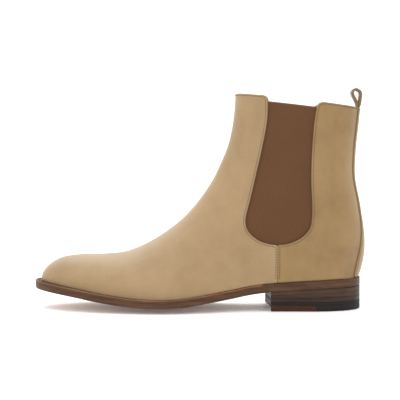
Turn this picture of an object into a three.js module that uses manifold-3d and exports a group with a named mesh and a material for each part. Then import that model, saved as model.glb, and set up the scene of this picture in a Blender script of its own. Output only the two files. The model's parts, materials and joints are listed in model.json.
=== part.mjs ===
// A left Chelsea boot, built the way a bootmaker does: an upper of vamp, quarters and elastic gores over
// a lining, pulled over an insole, welted to a leather outsole, on a stacked leather heel.
// Millimetres. +Z is up, the toe points along -X, the outer (lateral) side is -Y. The floor is z = 0.
import * as THREE from "three";
import { mergeVertices } from "three/addons/utils/BufferGeometryUtils.js";
import Module from "manifold-3d";

const wasm = await Module();
wasm.setup();

// ---- Overall sizes ----
const SOLE_LENGTH = 304.2; // outsole, toe to heel
const BALL_WIDTH = 102.8; // outsole across the ball
const SHAFT_HEIGHT = 199.3; // front of the top line above the floor
const TOE_SPRING = 13; // rise of the seat line from the ball to the toe

// ---- Bottom stock ----
const OUTSOLE_THICK = 4.6;
const WELT_THICK = 2.9;
const INSOLE_THICK = 2.6;
const SOCK_THICK = 1;
const SHANK_THICK = 1.2;
const SHANK_WIDTH = 14;
const SHANK_LENGTH = 92;
const LIFT_THICK = 2.9; // each heel lift, at the breast
const LIFT_COUNT = 3;
const TOP_PIECE_THICK = 8.75;
const INSERT_THICK = 5.8; // leather front half of the top piece
const INSERT_LENGTH = 41;
const BALL_CROWN = 4.7; // how far the middle of the bottom hangs below its edges at the ball
const WELT_MARGIN = 5.5; // how far the outsole stands out past the upper, at the ball
const TOE_MARGIN = 5.7;
const WAIST_MARGIN = 1.9;
const SEAT_MARGIN = 1.5;
const HEEL_BACK_MARGIN = 2.5;
const WELT_LAND = 7; // how far the welt reaches under the upper

// ---- Upper stock ----
const UPPER_THICK = 1.8;
const MIDDLE_THICK = 1.2; // gore, toe puff and heel counter share this layer
const LINING_THICK = 1;
const STRIP_THICK = 1.2;
const STRIP_TOP_WIDTH = 16;
const STRIP_FOOT_WIDTH = 27;
const GORE_TUCK = 8; // how far the gore reaches under the leather

// ---- Pull loop ----
const LOOP_WIDTH = 13;
const LOOP_THICK = 1.6;
const LOOP_HEIGHT = 15.2; // from the hinge line to the middle of the strip at the top
const LOOP_SPREAD = 8.3; // between the middles of the two legs
const LOOP_CLEAR = 0.2; // between the loop's root and the top line

// ---- Nails ----
const NAIL_RADIUS = 0.8;
const NAIL_HEAD_RADIUS = 1.5;
const NAIL_HEAD_THICK = 0.8;
const TOP_NAIL_LENGTH = 12;
const HEEL_NAIL_RADIUS = 1.1;
const NAIL_SIDES = 6;

const GAP = 0.3; // clearance between neighbouring solids
const FAR = 400; // longer than anything in the boot

// ---- The last ----
// Its lines are drawn for these sizes and stretched to the driving sizes above.
const LINES = {
  toe: -148.8,
  back: 147.2,
  ballWidth: 91.8,
  breastRise: 12.75,
  spring: 13,
  top: 199.3,
  ankle: 110,
};
const BREAST = 65; // heel breast, where the seat line reaches its full rise
const BALL = -38; // where the bottom is lowest

// Height of the seat line, which the upper stands on, above its low point at the ball: [x, rise].
const SEAT_LINE = [
  [-160, 14.2], [-148.8, 13], [-117, 9], [-88, 4.5], [-62, 1.3], [BALL, 0],
  [-12, 0.9], [24, 6.2], [47, 10.6], [BREAST, LINES.breastRise], [118, 16], [147.2, 16.6], [160, 16.7],
];
// Roundness of the bottom across, as a share of that at the ball: [x, share].
const CROWN_LINE = [[-160, 0.8], [-100, 0.9], [BALL, 1], [10, 0.9], [50, 0.2], [BREAST - 5, 0], [160, 0]];
// Plan of the feather edge, toe to heel: [x, y].
const LATERAL_PLAN = [
  [-148.8, 4], [-147.6, -2.5], [-143.5, -9.5], [-135, -17.5], [-120, -26.5], [-98, -35.5], [-72, -42],
  [-45, -45.8], [-20, -45.6], [5, -40.5], [30, -34.5], [58, -31.2], [88, -31.3], [112, -31],
  [130, -26], [141, -17], [146.1, -7.5], [147.2, 0],
];
const MEDIAL_PLAN = [
  [-148.8, 4], [-148, 9.5], [-144, 16.5], [-136, 23.5], [-121, 31], [-99, 38.8], [-74, 44], [-50, 46],
  [-27, 43], [-3, 34.5], [22, 28.5], [50, 27], [80, 29], [108, 31], [129, 27], [141, 17.5],
  [146.1, 7.5], [147.2, 0],
];
// Sections that fan from upright at the toe to level at the shaft. Each runs from the ridge of the foot
// or front of the shaft down to the feather edge or the back: ridge x, z; foot x (and z, once it is on
// the back); fan angle in degrees (90 stops at the feather edge, 180 closes at the back); sideways place
// of the ridge; half-breadths a quarter, a half and three quarters of the way down.
const SECTIONS = [
  { ridge: [-148.8, 25.5], foot: [-148.8], fan: 90, lean: 4, breadth: [0, 0, 0] },
  { ridge: [-148.5, 29.5], foot: [-147.7], fan: 90, lean: 4, breadth: [2.9, 5, 6.2] },
  { ridge: [-146, 34.8], foot: [-143.8], fan: 90, lean: 4, breadth: [5.8, 10.2, 12.6] },
  { ridge: [-140, 41], foot: [-137], fan: 90, lean: 4, breadth: [8.8, 15.3, 18.7] },
  { ridge: [-129, 46.7], foot: [-126], fan: 90, lean: 4, breadth: [12, 20.6, 25.2] },
  { ridge: [-112, 49.2], foot: [-109], fan: 90, lean: 3.6, breadth: [15, 26, 32.2] },
  { ridge: [-90, 49.8], foot: [-86], fan: 90, lean: 3, breadth: [17, 30.2, 38.5] },
  { ridge: [-69, 52.3], foot: [-62], fan: 90, lean: 2.4, breadth: [17.5, 32, 42] },
  { ridge: [-50, 59.9], foot: [-37], fan: 90, lean: 2, breadth: [16.5, 30.5, 41] },
  { ridge: [-32, 70.8], foot: [-10], fan: 90, lean: 2, breadth: [15.5, 28.5, 38] },
  { ridge: [-15, 84.4], foot: [22], fan: 92, lean: 2, breadth: [15, 27, 34] },
  { ridge: [-1, 100], foot: [62], fan: 105, lean: 1.5, breadth: [16, 28, 33.5] },
  { ridge: [9.5, 115], foot: [106], fan: 125, lean: 1, breadth: [18, 30, 34] },
  { ridge: [13.8, 122.5], foot: [131], fan: 150, lean: 0.5, breadth: [19.5, 32, 33] },
  { ridge: [17, 129], foot: [147.2], fan: 180, lean: 0, breadth: [21, 33.5, 28] },
  { ridge: [21.3, 138.5], foot: [153.1, 58], fan: 180, lean: 0, breadth: [20.8, 32.5, 27] },
  { ridge: [25.9, 150.5], foot: [149, 92], fan: 180, lean: 0, breadth: [20.4, 31.2, 25.5] },
  { ridge: [29.2, 163.5], foot: [143.5, 122], fan: 180, lean: 0, breadth: [19.8, 30, 23.4] },
  { ridge: [31.4, 177], foot: [144, 148], fan: 180, lean: 0, breadth: [19.6, 29.6, 22.2] },
  { ridge: [32.6, 190.5], foot: [146.5, 173], fan: 180, lean: 0, breadth: [19.8, 30, 22.4] },
  { ridge: [33.2, 208], foot: [149.3, 202], fan: 180, lean: 0, breadth: [20.2, 30.7, 22.9] },
];
const HEEL_SECTION = 14; // the section that ends at the back of the feather edge
// How many rows of the net each span between two sections takes.
const SPAN_ROWS = [1, 1, 1, 1, 1, 1, 1, 1, 1, 1, 2, 2, 2, 3, 2, 1, 2, 1, 1, 1];
const SIDE_COLUMNS = 7;

// ---- Side view of the pattern pieces, [x, z] ----
// Edge of the gore opening, from the front corner of the top line round the bottom to the rear corner.
const GORE_EDGE = [
  [61.6, 206], [61.6, 192], [61.4, 178.5], [59.6, 165], [56, 147], [51.3, 126], [46.4, 105], [42.1, 88],
  [41.5, 80], [44.6, 72.5], [52.5, 65.6], [62, 62], [71.5, 61], [81.5, 62.3], [92, 67], [99.4, 74.5],
  [102, 84], [102.2, 100], [101.4, 122], [102.3, 147], [103.9, 169.5], [106.3, 187], [107.6, 206],
];
const SEAM_X = 71; // side seam, from the bottom of the gore to the seat line
const TOP_LINE = {
  frontCorner: [55, 197.6], // where the front panel's rounded corner starts
  frontDrop: 190.6, // and the height where it ends on the gore edge
  goreFront: [50, 193.2],
  goreBack: [118, 185.2],
  rearPeak: [113.5, 190.9],
  rearDrop: 185.5,
  back: [150, 186.2],
};

// ---- Curves ----
// Hermite value between b and c, with the slopes of a Catmull-Rom spline through a, b, c, d.
function spline(a, b, c, d, t) {
  const m0 = (c - a) / 2;
  const m1 = (d - b) / 2;
  const s = t * t;
  return b + m0 * t + (3 * (c - b) - 2 * m0 - m1) * s + (2 * (b - c) + m0 + m1) * s * t;
}

// Value at x of a curve through points [x, value], which run left to right.
function curveAt(points, x) {
  const last = points.length - 1;
  if (x <= points[0][0]) return points[0][1];
  if (x >= points[last][0]) return points[last][1];
  const i = points.findIndex((p) => p[0] > x) - 1;
  const slope = (k) => {
    const a = points[Math.max(k - 1, 0)];
    const b = points[Math.min(k + 1, last)];
    return (b[1] - a[1]) / (b[0] - a[0]);
  };
  const [x0, v0] = points[i];
  const [x1, v1] = points[i + 1];
  const w = x1 - x0;
  const t = (x - x0) / w;
  const m0 = slope(i) * w;
  const m1 = slope(i + 1) * w;
  return v0 + m0 * t + (3 * (v1 - v0) - 2 * m0 - m1) * t * t + (2 * (v0 - v1) + m0 + m1) * t ** 3;
}

// Points of a smooth line through the given ones.
function smoothLine(points, steps) {
  const at = (i) => points[Math.min(Math.max(i, 0), points.length - 1)];
  const line = [];
  for (let i = 0; i < points.length - 1; i++)
    for (let s = 0; s < steps; s++)
      line.push([0, 1].map((k) => spline(at(i - 1)[k], at(i)[k], at(i + 1)[k], at(i + 2)[k], s / steps)));
  line.push(points.at(-1));
  return line;
}

// The same line moved sideways: positive distances move it to the left of its direction.
function offsetLine(line, distance) {
  return line.map((p, i) => {
    const a = line[Math.max(i - 1, 0)];
    const b = line[Math.min(i + 1, line.length - 1)];
    const d = typeof distance === "function" ? distance(p) : distance;
    const length = Math.hypot(b[0] - a[0], b[1] - a[1]);
    return [p[0] - (d * (b[1] - a[1])) / length, p[1] + (d * (b[0] - a[0])) / length];
  });
}

// y where a line that runs from toe to heel passes x.
function yAt(line, x) {
  if (x <= line[0][0]) return line[0][1];
  const i = line.findIndex((p) => p[0] > x);
  if (i < 0) return line.at(-1)[1];
  const [a, b] = [line[i - 1], line[i]];
  return a[1] + ((b[1] - a[1]) * (x - a[0])) / (b[0] - a[0]);
}

// ---- From the last's lines to the driving sizes ----
const EDGE_THICK = OUTSOLE_THICK + WELT_THICK + GAP;
const HEEL_BREAST_HEIGHT = TOP_PIECE_THICK + LIFT_COUNT * LIFT_THICK;
const FEATHER_LENGTH = SOLE_LENGTH - TOE_MARGIN - HEEL_BACK_MARGIN;
const STRETCH_X = FEATHER_LENGTH / (LINES.back - LINES.toe);
const STRETCH_Y = (BALL_WIDTH - 2 * WELT_MARGIN) / LINES.ballWidth;
const BREAST_RISE = HEEL_BREAST_HEIGHT - BALL_CROWN;

// Height of the seat line above the floor, by the last's x.
function seatByLine(x) {
  const rise = curveAt(SEAT_LINE, x);
  const share = x < BALL ? TOE_SPRING / LINES.spring : BREAST_RISE / LINES.breastRise;
  return EDGE_THICK + BALL_CROWN + rise * share;
}
const seat = (x) => seatByLine(x / STRETCH_X);
const LINES_SEAT_AT_BALL = 12.5;

// Side-view point [x, z] of the last's lines, moved to the driving sizes.
function place([x, z]) {
  const lift = seatByLine(x) - LINES_SEAT_AT_BALL - curveAt(SEAT_LINE, x);
  const up = Math.max(z - LINES.ankle, 0) / (LINES.top - LINES.ankle);
  return [x * STRETCH_X, z + lift + up * (SHAFT_HEIGHT - LINES.top)];
}

const toSize = (plan) => smoothLine(plan, 6).map(([x, y]) => [x * STRETCH_X, y * STRETCH_Y]);
const feather = { lateral: toSize(LATERAL_PLAN), medial: toSize(MEDIAL_PLAN) };

// The feather edge moved outward (or inward, below 0), as two lines from toe to heel.
function outline(margin) {
  const outward = typeof margin === "function" ? margin : () => margin;
  return {
    lateral: offsetLine(feather.lateral, (p) => -outward(p[0])),
    medial: offsetLine(feather.medial, (p) => outward(p[0])),
  };
}
const MARGIN_LINE = [
  [-160, TOE_MARGIN], [-145, TOE_MARGIN], [BALL, WELT_MARGIN], [0, 0.75 * WELT_MARGIN], [32, WAIST_MARGIN],
  [BREAST, SEAT_MARGIN], [125, SEAT_MARGIN], [LINES.back, HEEL_BACK_MARGIN], [160, HEEL_BACK_MARGIN],
];
const soleMargin = (x) => curveAt(MARGIN_LINE, x / STRETCH_X);
const sole = outline(soleMargin);

// How far the bottom hangs below the seat line at x, y: nothing at its edges, most in the middle.
function hang(x, y) {
  const half = (yAt(sole.medial, x) - yAt(sole.lateral, x)) / 2;
  return (BALL_CROWN * curveAt(CROWN_LINE, x / STRETCH_X) * (half ** 2 - y ** 2)) / (BALL_WIDTH / 2) ** 2;
}

// ---- Solids ----
function solidOf(geometry) {
  const bare = geometry.index ? geometry.toNonIndexed() : geometry.clone();
  bare.deleteAttribute("normal");
  bare.deleteAttribute("uv");
  const merged = mergeVertices(bare, 1e-4);
  return new wasm.Manifold(
    new wasm.Mesh({
      numProp: 3,
      vertProperties: merged.attributes.position.array,
      triVerts: new Uint32Array(merged.index.array),
    }),
  );
}

function solidFrom(vertices, faces) {
  const vertProperties = new Float32Array(vertices.flat());
  const triVerts = new Uint32Array(faces.flat());
  return new wasm.Manifold(new wasm.Mesh({ numProp: 3, vertProperties, triVerts }));
}

function geometryOf(solid) {
  const m = solid.getMesh();
  const position = new Float32Array(m.numVert * 3);
  for (let i = 0; i < m.numVert; i++)
    for (let k = 0; k < 3; k++) position[3 * i + k] = m.vertProperties[i * m.numProp + k];
  const geometry = new THREE.BufferGeometry();
  geometry.setAttribute("position", new THREE.BufferAttribute(position, 3));
  geometry.setIndex(new THREE.BufferAttribute(new Uint32Array(m.triVerts), 1));
  geometry.computeVertexNormals();
  return geometry;
}

// Side-view outline, [x, z], run through from y0 to y1.
function sidePrism(points, y0 = -FAR, y1 = FAR) {
  const shape = new THREE.Shape(points.map(([x, z]) => new THREE.Vector2(x, z)));
  const geometry = new THREE.ExtrudeGeometry(shape, { depth: y1 - y0, bevelEnabled: false });
  return solidOf(geometry.rotateX(Math.PI / 2).translate(0, y1, 0));
}

// Plan outline, [x, y], run through from z0 to z1.
function planPrism(points, z0, z1) {
  const shape = new THREE.Shape(points.map(([x, y]) => new THREE.Vector2(x, y)));
  const geometry = new THREE.ExtrudeGeometry(shape, { depth: z1 - z0, bevelEnabled: false });
  return solidOf(geometry.translate(0, 0, z0));
}

// ---- The net: the outer face of the upper ----
// Row t (a section number, with fractions between sections) and column v, from -1 at the lateral
// feather edge over the ridge at 0 to 1 at the medial one.
function skinPoint(t, v) {
  const i = Math.min(Math.floor(t), SECTIONS.length - 2);
  const row = (k) => SECTIONS[Math.min(Math.max(k, 0), SECTIONS.length - 1)];
  const mix = (get) => spline(get(row(i - 1)), get(row(i)), get(row(i + 1)), get(row(i + 2)), t - i);
  const footZ = (r) => r.foot[1] ?? seatByLine(r.foot[0]) - seatByLine(BALL) + LINES_SEAT_AT_BALL;
  const ridge = place([mix((r) => r.ridge[0]), mix((r) => r.ridge[1])]);
  const footX = mix((r) => r.foot[0]);
  const closed = t >= HEEL_SECTION;
  const foot = closed ? place([footX, mix(footZ)]) : [footX * STRETCH_X, seat(footX * STRETCH_X)];
  const edge = closed ? [0, 0] : [yAt(feather.lateral, foot[0]), yAt(feather.medial, foot[0])];
  if (!closed) foot[1] -= hang(foot[0], v < 0 ? edge[0] : edge[1]);
  const a = Math.abs(v);
  const fan = (Math.min(mix((r) => r.fan), 180) * Math.PI) / 180;
  const down = (1 - Math.cos(fan * a)) / (1 - Math.cos(fan));
  const end = (edge[1] - edge[0]) / 2;
  const [q, h, w] = [0, 1, 2].map((k) => STRETCH_Y * Math.max(mix((r) => r.breadth[k]), 0));
  const ladder = [-q, 0, q, h, w, end, 2 * end - w];
  const rung = Math.min(Math.floor(a * 4), 3);
  const breadth = spline(...ladder.slice(rung, rung + 4), a * 4 - rung);
  const middle = THREE.MathUtils.lerp(mix((r) => r.lean) * STRETCH_Y, (edge[0] + edge[1]) / 2, a * a);
  return [
    THREE.MathUtils.lerp(ridge[0], foot[0], down),
    middle + Math.sign(v) * breadth,
    THREE.MathUtils.lerp(ridge[1], foot[1], down),
  ];
}

function makeNet() {
  const rows = [0];
  SPAN_ROWS.forEach((count, i) => {
    for (let s = 1; s <= count; s++) rows.push(i + s / count);
  });
  const vertices = [];
  const ids = rows.map((t, k) => {
    const row = [];
    for (let j = -SIDE_COLUMNS; j <= SIDE_COLUMNS; j++) {
      if (k === 0 && j > -SIDE_COLUMNS) row.push(row[0]); // every column meets at the toe
      else if (t >= HEEL_SECTION && j === SIDE_COLUMNS) row.push(row[0]); // and rows close at the back
      else row.push(vertices.push(skinPoint(t, j / SIDE_COLUMNS)) - 1);
    }
    return row;
  });
  const faces = [];
  const add = (a, b, c) => {
    if (a !== b && b !== c && c !== a) faces.push([a, b, c]);
  };
  for (let k = 0; k < ids.length - 1; k++)
    for (let j = 0; j < 2 * SIDE_COLUMNS; j++) {
      const [a, b, c, d] = [ids[k][j], ids[k][j + 1], ids[k + 1][j + 1], ids[k + 1][j]];
      const [p, q] = j < SIDE_COLUMNS ? [a, c] : [b, d]; // the diagonal, mirrored on the medial side
      add(...(p === a ? [a, c, b] : [a, d, b]));
      add(...(q === c ? [a, d, c] : [b, d, c]));
    }
  const geometry = new THREE.BufferGeometry();
  geometry.setAttribute("position", new THREE.Float32BufferAttribute(vertices.flat(), 3));
  geometry.setIndex(faces.flat());
  geometry.computeVertexNormals();
  const n = geometry.attributes.normal.array;
  const normals = vertices.map((_, i) => [n[3 * i], n[3 * i + 1], n[3 * i + 2]]);
  return { vertices, normals, faces };
}
const net = makeNet();

// A sheet that follows the net, from one distance outside it (below 0 is inside) to another.
function layer(outer, inner) {
  const at = (d) => net.vertices.map((p, i) => p.map((c, k) => c + d * net.normals[i][k]));
  const vertices = [...at(outer), ...at(inner)];
  const n = net.vertices.length;
  const faces = [];
  const edges = new Set();
  for (const [a, b, c] of net.faces) {
    faces.push([a, b, c], [c + n, b + n, a + n]);
    for (const e of [[a, b], [b, c], [c, a]]) edges.add(e.join());
  }
  for (const e of edges) {
    const [a, b] = e.split(",").map(Number);
    if (!edges.has(`${b},${a}`)) faces.push([b, a, a + n], [b, a + n, b + n]);
  }
  return solidFrom(vertices, faces);
}

// A sheet on a grid that every plate of the bottom shares, so the faces of neighbours run parallel. Its
// two faces lie the given depths below the seat line, or at heights that are functions of x.
const GRID_X = Array.from({ length: 21 }, (_, i) => (BALL + 16.5 * (i - 8)) * STRETCH_X);
const GRID_Y = [-1.3, -0.5, 0, 0.5, 1.3].map((s) => (s * BALL_WIDTH) / 2);
const WIDE_Y = [GRID_Y[0], GRID_Y[4]];

function sheet(top, bottom, lines = GRID_Y) {
  const height = (face, x, y) => (typeof face === "function" ? face(x) : seat(x) - face - hang(x, y));
  const vertices = [];
  const ids = [top, bottom].map((face) =>
    GRID_X.map((x) => lines.map((y) => vertices.push([x, y, height(face, x, y)]) - 1)),
  );
  const faces = [];
  const quad = (a, b, c, d) => faces.push([a, b, c], [a, c, d]);
  const [up, low] = ids;
  const [m, n] = [GRID_X.length - 1, lines.length - 1];
  for (let i = 0; i < m; i++) {
    for (let j = 0; j < n; j++) {
      quad(up[i][j], up[i + 1][j], up[i + 1][j + 1], up[i][j + 1]);
      quad(low[i][j], low[i][j + 1], low[i + 1][j + 1], low[i + 1][j]);
    }
    quad(low[i][0], low[i + 1][0], up[i + 1][0], up[i][0]);
    quad(up[i][n], up[i + 1][n], low[i + 1][n], low[i][n]);
  }
  for (let j = 0; j < n; j++) {
    quad(up[0][j], up[0][j + 1], low[0][j + 1], low[0][j]);
    quad(low[m][j], low[m][j + 1], up[m][j + 1], up[m][j]);
  }
  return solidFrom(vertices, faces);
}

// Ring of points round an outline given as two lines from toe to heel, closer together at its ends.
function ringOf({ lateral, medial }, count = 20) {
  const x0 = Math.max(lateral[0][0], medial[0][0]);
  const x1 = Math.min(lateral.at(-1)[0], medial.at(-1)[0]);
  const there = [];
  const back = [];
  for (let i = 0; i <= count; i++) {
    const eased = (1 - Math.cos((Math.PI * i) / count)) / 2;
    const x = x0 + (x1 - x0) * ((0.3 * i) / count + 0.7 * eased);
    const [yl, ym] = [yAt(lateral, x), yAt(medial, x)];
    if (ym - yl > 1) {
      there.push([x, yl]);
      back.unshift([x, ym]);
    } else if (i === 0 || i === count) there.push([x, (yl + ym) / 2]);
  }
  return [...there, ...back];
}

// The part of a sheet inside an outline.
function plate(lines, top, bottom, gridLines) {
  return sheet(top, bottom, gridLines).intersect(planPrism(ringOf(lines), -FAR, FAR));
}
const level = (z) => () => z;

// ---- Pattern pieces ----
const goreEdge = smoothLine(GORE_EDGE.map(place), 3);
const goreLowest = goreEdge.reduce((a, p, i) => (p[1] < goreEdge[a][1] ? i : a), 0);
const seamX = SEAM_X * STRETCH_X;
const frontHalf = goreEdge.slice(0, goreLowest + 1);
const rearHalf = goreEdge.slice(goreLowest);
const top = Object.fromEntries(
  Object.entries(TOP_LINE).map(([name, p]) => [name, Array.isArray(p) ? place(p) : place([SEAM_X, p])[1]]),
);

// Height of the top line behind its rear corner.
const topSlope = (top.back[1] - top.rearPeak[1]) / (top.back[0] - top.rearPeak[0]);
const topLineAt = (x) => top.back[1] + topSlope * (x - top.back[0]);

// Corner from point a to point b, rounded towards the place where they would meet.
function roundCorner(a, corner, b, steps = 5) {
  const curve = new THREE.QuadraticBezierCurve(...[a, corner, b].map((p) => new THREE.Vector2(...p)));
  return curve.getPoints(steps).map((p) => [p.x, p.y]);
}

function frontPattern() {
  const edge = frontHalf.filter((p) => p[1] < top.frontDrop && p[0] < seamX - 1);
  const cornerX = edge[0][0];
  const corner = roundCorner([cornerX, top.frontDrop], [cornerX, top.frontCorner[1]], top.frontCorner);
  const front = [
    [-FAR, SHAFT_HEIGHT],
    [-FAR, -FAR],
    [seamX - GAP / 2, -FAR],
    [seamX - GAP / 2, goreEdge[goreLowest][1]],
  ];
  return [...front, ...edge.reverse(), ...corner, [LINES.ankle / 3, SHAFT_HEIGHT]];
}

// The corner of the top line is cut rounder by `softer` millimetres on the inner side.
function rearPattern(side) {
  const softer = side === "medial" ? 5 : 0;
  const drop = top.rearDrop - softer;
  const edge = rearHalf.filter((p) => p[1] < drop && p[0] > seamX + 1);
  const [lastX] = edge.at(-1);
  const peakX = top.rearPeak[0] + softer;
  const peak = [peakX, topLineAt(peakX)];
  const corner = roundCorner([lastX + 0.3, drop], [lastX + 1.2, peak[1]], peak);
  return [
    [seamX + GAP / 2, goreEdge[goreLowest][1]],
    ...edge,
    ...corner,
    top.back,
    [FAR, top.back[1] - 2],
    [FAR, -FAR],
    [seamX + GAP / 2, -FAR],
  ];
}

function gorePattern() {
  const tucked = offsetLine(goreEdge, -GORE_TUCK);
  const [a, b] = [top.goreFront, top.goreBack];
  const slope = (b[1] - a[1]) / (b[0] - a[0]);
  const below = tucked.filter((p) => p[1] < a[1] + slope * (p[0] - a[0]));
  const end = (p) => [p[0], a[1] + slope * (p[0] - a[0])];
  return [end(below[0]), ...below, end(below.at(-1))];
}

// Everything under the seat line, which stops the upper.
const ground = sheet(-GAP, level(-FAR));
const fromSeat = (solid) => solid.subtract(ground);
const frontSide = sidePrism(frontPattern());
const HALVES = { lateral: [-FAR, -GAP / 2], medial: [GAP / 2, FAR] };

const upperLayer = fromSeat(layer(0, -UPPER_THICK));
const middleOuter = -UPPER_THICK - GAP;
const middleInner = middleOuter - MIDDLE_THICK;
const middleLayer = fromSeat(layer(middleOuter, middleInner));
const liningOuter = middleInner - GAP;
const liningInner = liningOuter - LINING_THICK;
const liningLayer = fromSeat(layer(liningOuter, liningInner));

function quarter(sheet, side) {
  return sheet.intersect(sidePrism(rearPattern(side), ...HALVES[side]));
}

function gore(side) {
  return middleLayer.intersect(sidePrism(gorePattern(), ...HALVES[side]));
}

// Stiffener in the toe, under the vamp.
function toePuff() {
  const [x, z] = place([-104, 60]);
  return middleLayer.intersect(sidePrism([[-FAR, z], [-FAR, -FAR], [x - 14, -FAR], [x, 20], [x, z]]));
}

// Stiffener round the heel, under the quarters and below the gores.
function heelCounter() {
  const points = [[88, -40], [90, 44], [112, 49], [121, 66], [134, 80], [170, 84], [170, -40]];
  const placed = points.map(([x, z]) => (z < 0 ? [x * STRETCH_X, z] : place([x, z])));
  return middleLayer.intersect(sidePrism(placed));
}

// Strip over the back seam, wider at the foot. Its shape is drawn from behind, [y, z].
function backStrip() {
  const outer = GAP + STRIP_THICK;
  const foot = seat(FEATHER_LENGTH / 2);
  const outlineFromBehind = [
    [-STRIP_FOOT_WIDTH / 2, foot - 20],
    [STRIP_FOOT_WIDTH / 2, foot - 20],
    [STRIP_FOOT_WIDTH / 2, foot],
    [STRIP_TOP_WIDTH / 2, foot + 70],
    [STRIP_TOP_WIDTH / 2, top.back[1]],
    [-STRIP_TOP_WIDTH / 2, top.back[1]],
    [-STRIP_TOP_WIDTH / 2, foot + 70],
    [-STRIP_FOOT_WIDTH / 2, foot],
  ];
  const shape = new THREE.Shape(outlineFromBehind.map(([y, z]) => new THREE.Vector2(y, z)));
  const block = new THREE.ExtrudeGeometry(shape, { depth: FAR, bevelEnabled: false });
  block.rotateX(Math.PI / 2).rotateZ(Math.PI / 2).translate(120 * STRETCH_X, 0, 0);
  return fromSeat(layer(outer, GAP)).intersect(solidOf(block));
}

// ---- Pull loop ----
// A strip folded into a teardrop and joined at its root, which hinges on the top line at the back.
const LOOP_ROOT = LOOP_THICK + GAP; // radius of the root
const hingeX = top.back[0] - UPPER_THICK - 1.2;
const hinge = [hingeX, topLineAt(hingeX) + (LOOP_ROOT + LOOP_CLEAR) * Math.hypot(1, topSlope)];

function pullLoop() {
  const leg = LOOP_SPREAD / 2;
  const drift = -2.2; // the loop leans in over the opening
  const middle = [
    [0.2, 2.2], [-0.5, 4], [-leg * 0.62, 7], [-leg * 0.96, 10], [-leg * 0.85, 13.2], [0, LOOP_HEIGHT],
    [leg * 0.85, 13.2], [leg * 0.96, 10], [leg * 0.82, 7], [1.6, 4], [0.2, 2.2],
  ].map(([x, z]) => [x + (drift * Math.max(z - 2.2, 0)) / LOOP_HEIGHT, (z * LOOP_HEIGHT) / 15.2]);
  const line = smoothLine(middle, 3);
  const loop = offsetLine(line, LOOP_THICK / 2).slice(1, -1);
  const hole = offsetLine(line, -LOOP_THICK / 2).filter(([x, z], i) => z > 5.4 && i > 0);
  const root = [];
  for (let i = 0; i <= 8; i++) {
    const a = Math.PI * (i / 8);
    root.push([LOOP_ROOT * Math.cos(a), -LOOP_ROOT * Math.sin(a)]);
  }
  const outerLine = [...loop.filter((p) => p[1] > 2), ...root];
  const at = ([x, z]) => [hinge[0] + x, hinge[1] + z];
  const half = LOOP_WIDTH / 2;
  return sidePrism(outerLine.map(at), -half, half).subtract(sidePrism(hole.map(at), -FAR, FAR));
}

// ---- Bottom ----
const weltInner = outline(() => -WELT_LAND);
const insideUpper = outline(() => liningInner - 3 * GAP);
const lasted = layer(0, liningInner - GAP); // all the room that the upper and lining take
const inUpper = (solid) => solid.subtract(lasted);
const WELT_BOTTOM = WELT_THICK;
const OUTSOLE_TOP = WELT_BOTTOM + GAP;
const OUTSOLE_BOTTOM = OUTSOLE_TOP + OUTSOLE_THICK;
const INSOLE_TOP = -INSOLE_THICK - GAP;
const breastX = BREAST * STRETCH_X;
const heelBottom = (x) => seat(x) - OUTSOLE_BOTTOM;

// The breast is hollow, and its inner corner reaches a little further forward.
function heelBlock(z0, z1) {
  const width = 45;
  const front = [];
  for (let i = 0; i <= 12; i++) {
    const y = width * (i / 6 - 1);
    front.push([breastX + 0.7 - 2.5 * (y / 34) ** 2 - (1.4 * y) / 34, y]);
  }
  return planPrism([...front.reverse(), [FAR, -width], [FAR, width]], z0, z1);
}

const topNails = () => {
  const places = [];
  for (const x of [breastX + 10, breastX + 31]) for (const y of [-22, 22]) places.push([x, y * STRETCH_Y]);
  for (let i = -2; i <= 2; i++) {
    const a = (i * Math.PI) / 5;
    places.push([breastX + 54 + 23 * Math.cos(a), 22 * STRETCH_Y * Math.sin(a)]);
  }
  return places;
};
const heelNails = () => {
  const places = [[breastX + 58, 0]];
  for (const x of [breastX + 18, breastX + 42]) for (const y of [-12, 12]) places.push([x, y * STRETCH_Y]);
  return places;
};

// A nail with a flat head at its lower end, standing on z.
function topNail([x, y], z, grow = 0) {
  const [r, head] = [NAIL_RADIUS + grow, NAIL_HEAD_RADIUS + grow];
  const tip = z + TOP_NAIL_LENGTH + grow;
  const under = z + NAIL_HEAD_THICK + grow;
  const profile = [[0, z - grow], [head, z - grow], [head, under], [r, under], [r, tip - 1], [0, tip]];
  const geometry = new THREE.LatheGeometry(profile.map((p) => new THREE.Vector2(...p)), NAIL_SIDES);
  return solidOf(geometry.rotateX(Math.PI / 2).translate(x, y, 0));
}

function heelNail([x, y], grow = 0) {
  const z0 = TOP_PIECE_THICK + LIFT_THICK - grow;
  const z1 = seat(x) - INSOLE_TOP - 1 + grow;
  const radius = HEEL_NAIL_RADIUS + grow;
  const geometry = new THREE.CylinderGeometry(radius, radius, z1 - z0, NAIL_SIDES);
  return solidOf(geometry.rotateX(Math.PI / 2).translate(x, y, (z0 + z1) / 2));
}

const joinAll = (solids) => solids.reduce((a, b) => a.add(b));
const nailHoles = joinAll([
  ...topNails().map((p) => topNail(p, 0, GAP)),
  ...heelNails().map((p) => heelNail(p, GAP)),
]);
const drilled = (solid) => solid.subtract(nailHoles);

function weltRing() {
  return plate(sole, 0, WELT_BOTTOM).subtract(plate(weltInner, -9, WELT_BOTTOM + 9));
}
const splitX = breastX - 8; // where the welt ends and the heel rand begins

function shankAt(grow) {
  const mid = splitX + 42 - SHANK_LENGTH / 2;
  const half = SHANK_WIDTH / 2 + grow;
  const [from, to] = [mid - SHANK_LENGTH / 2 - grow, mid + SHANK_LENGTH / 2 + grow];
  const strip = planPrism([[from, -half], [to, -half], [to, half], [from, half]], -FAR, FAR);
  return sheet(-grow, SHANK_THICK + grow).intersect(strip);
}

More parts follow.
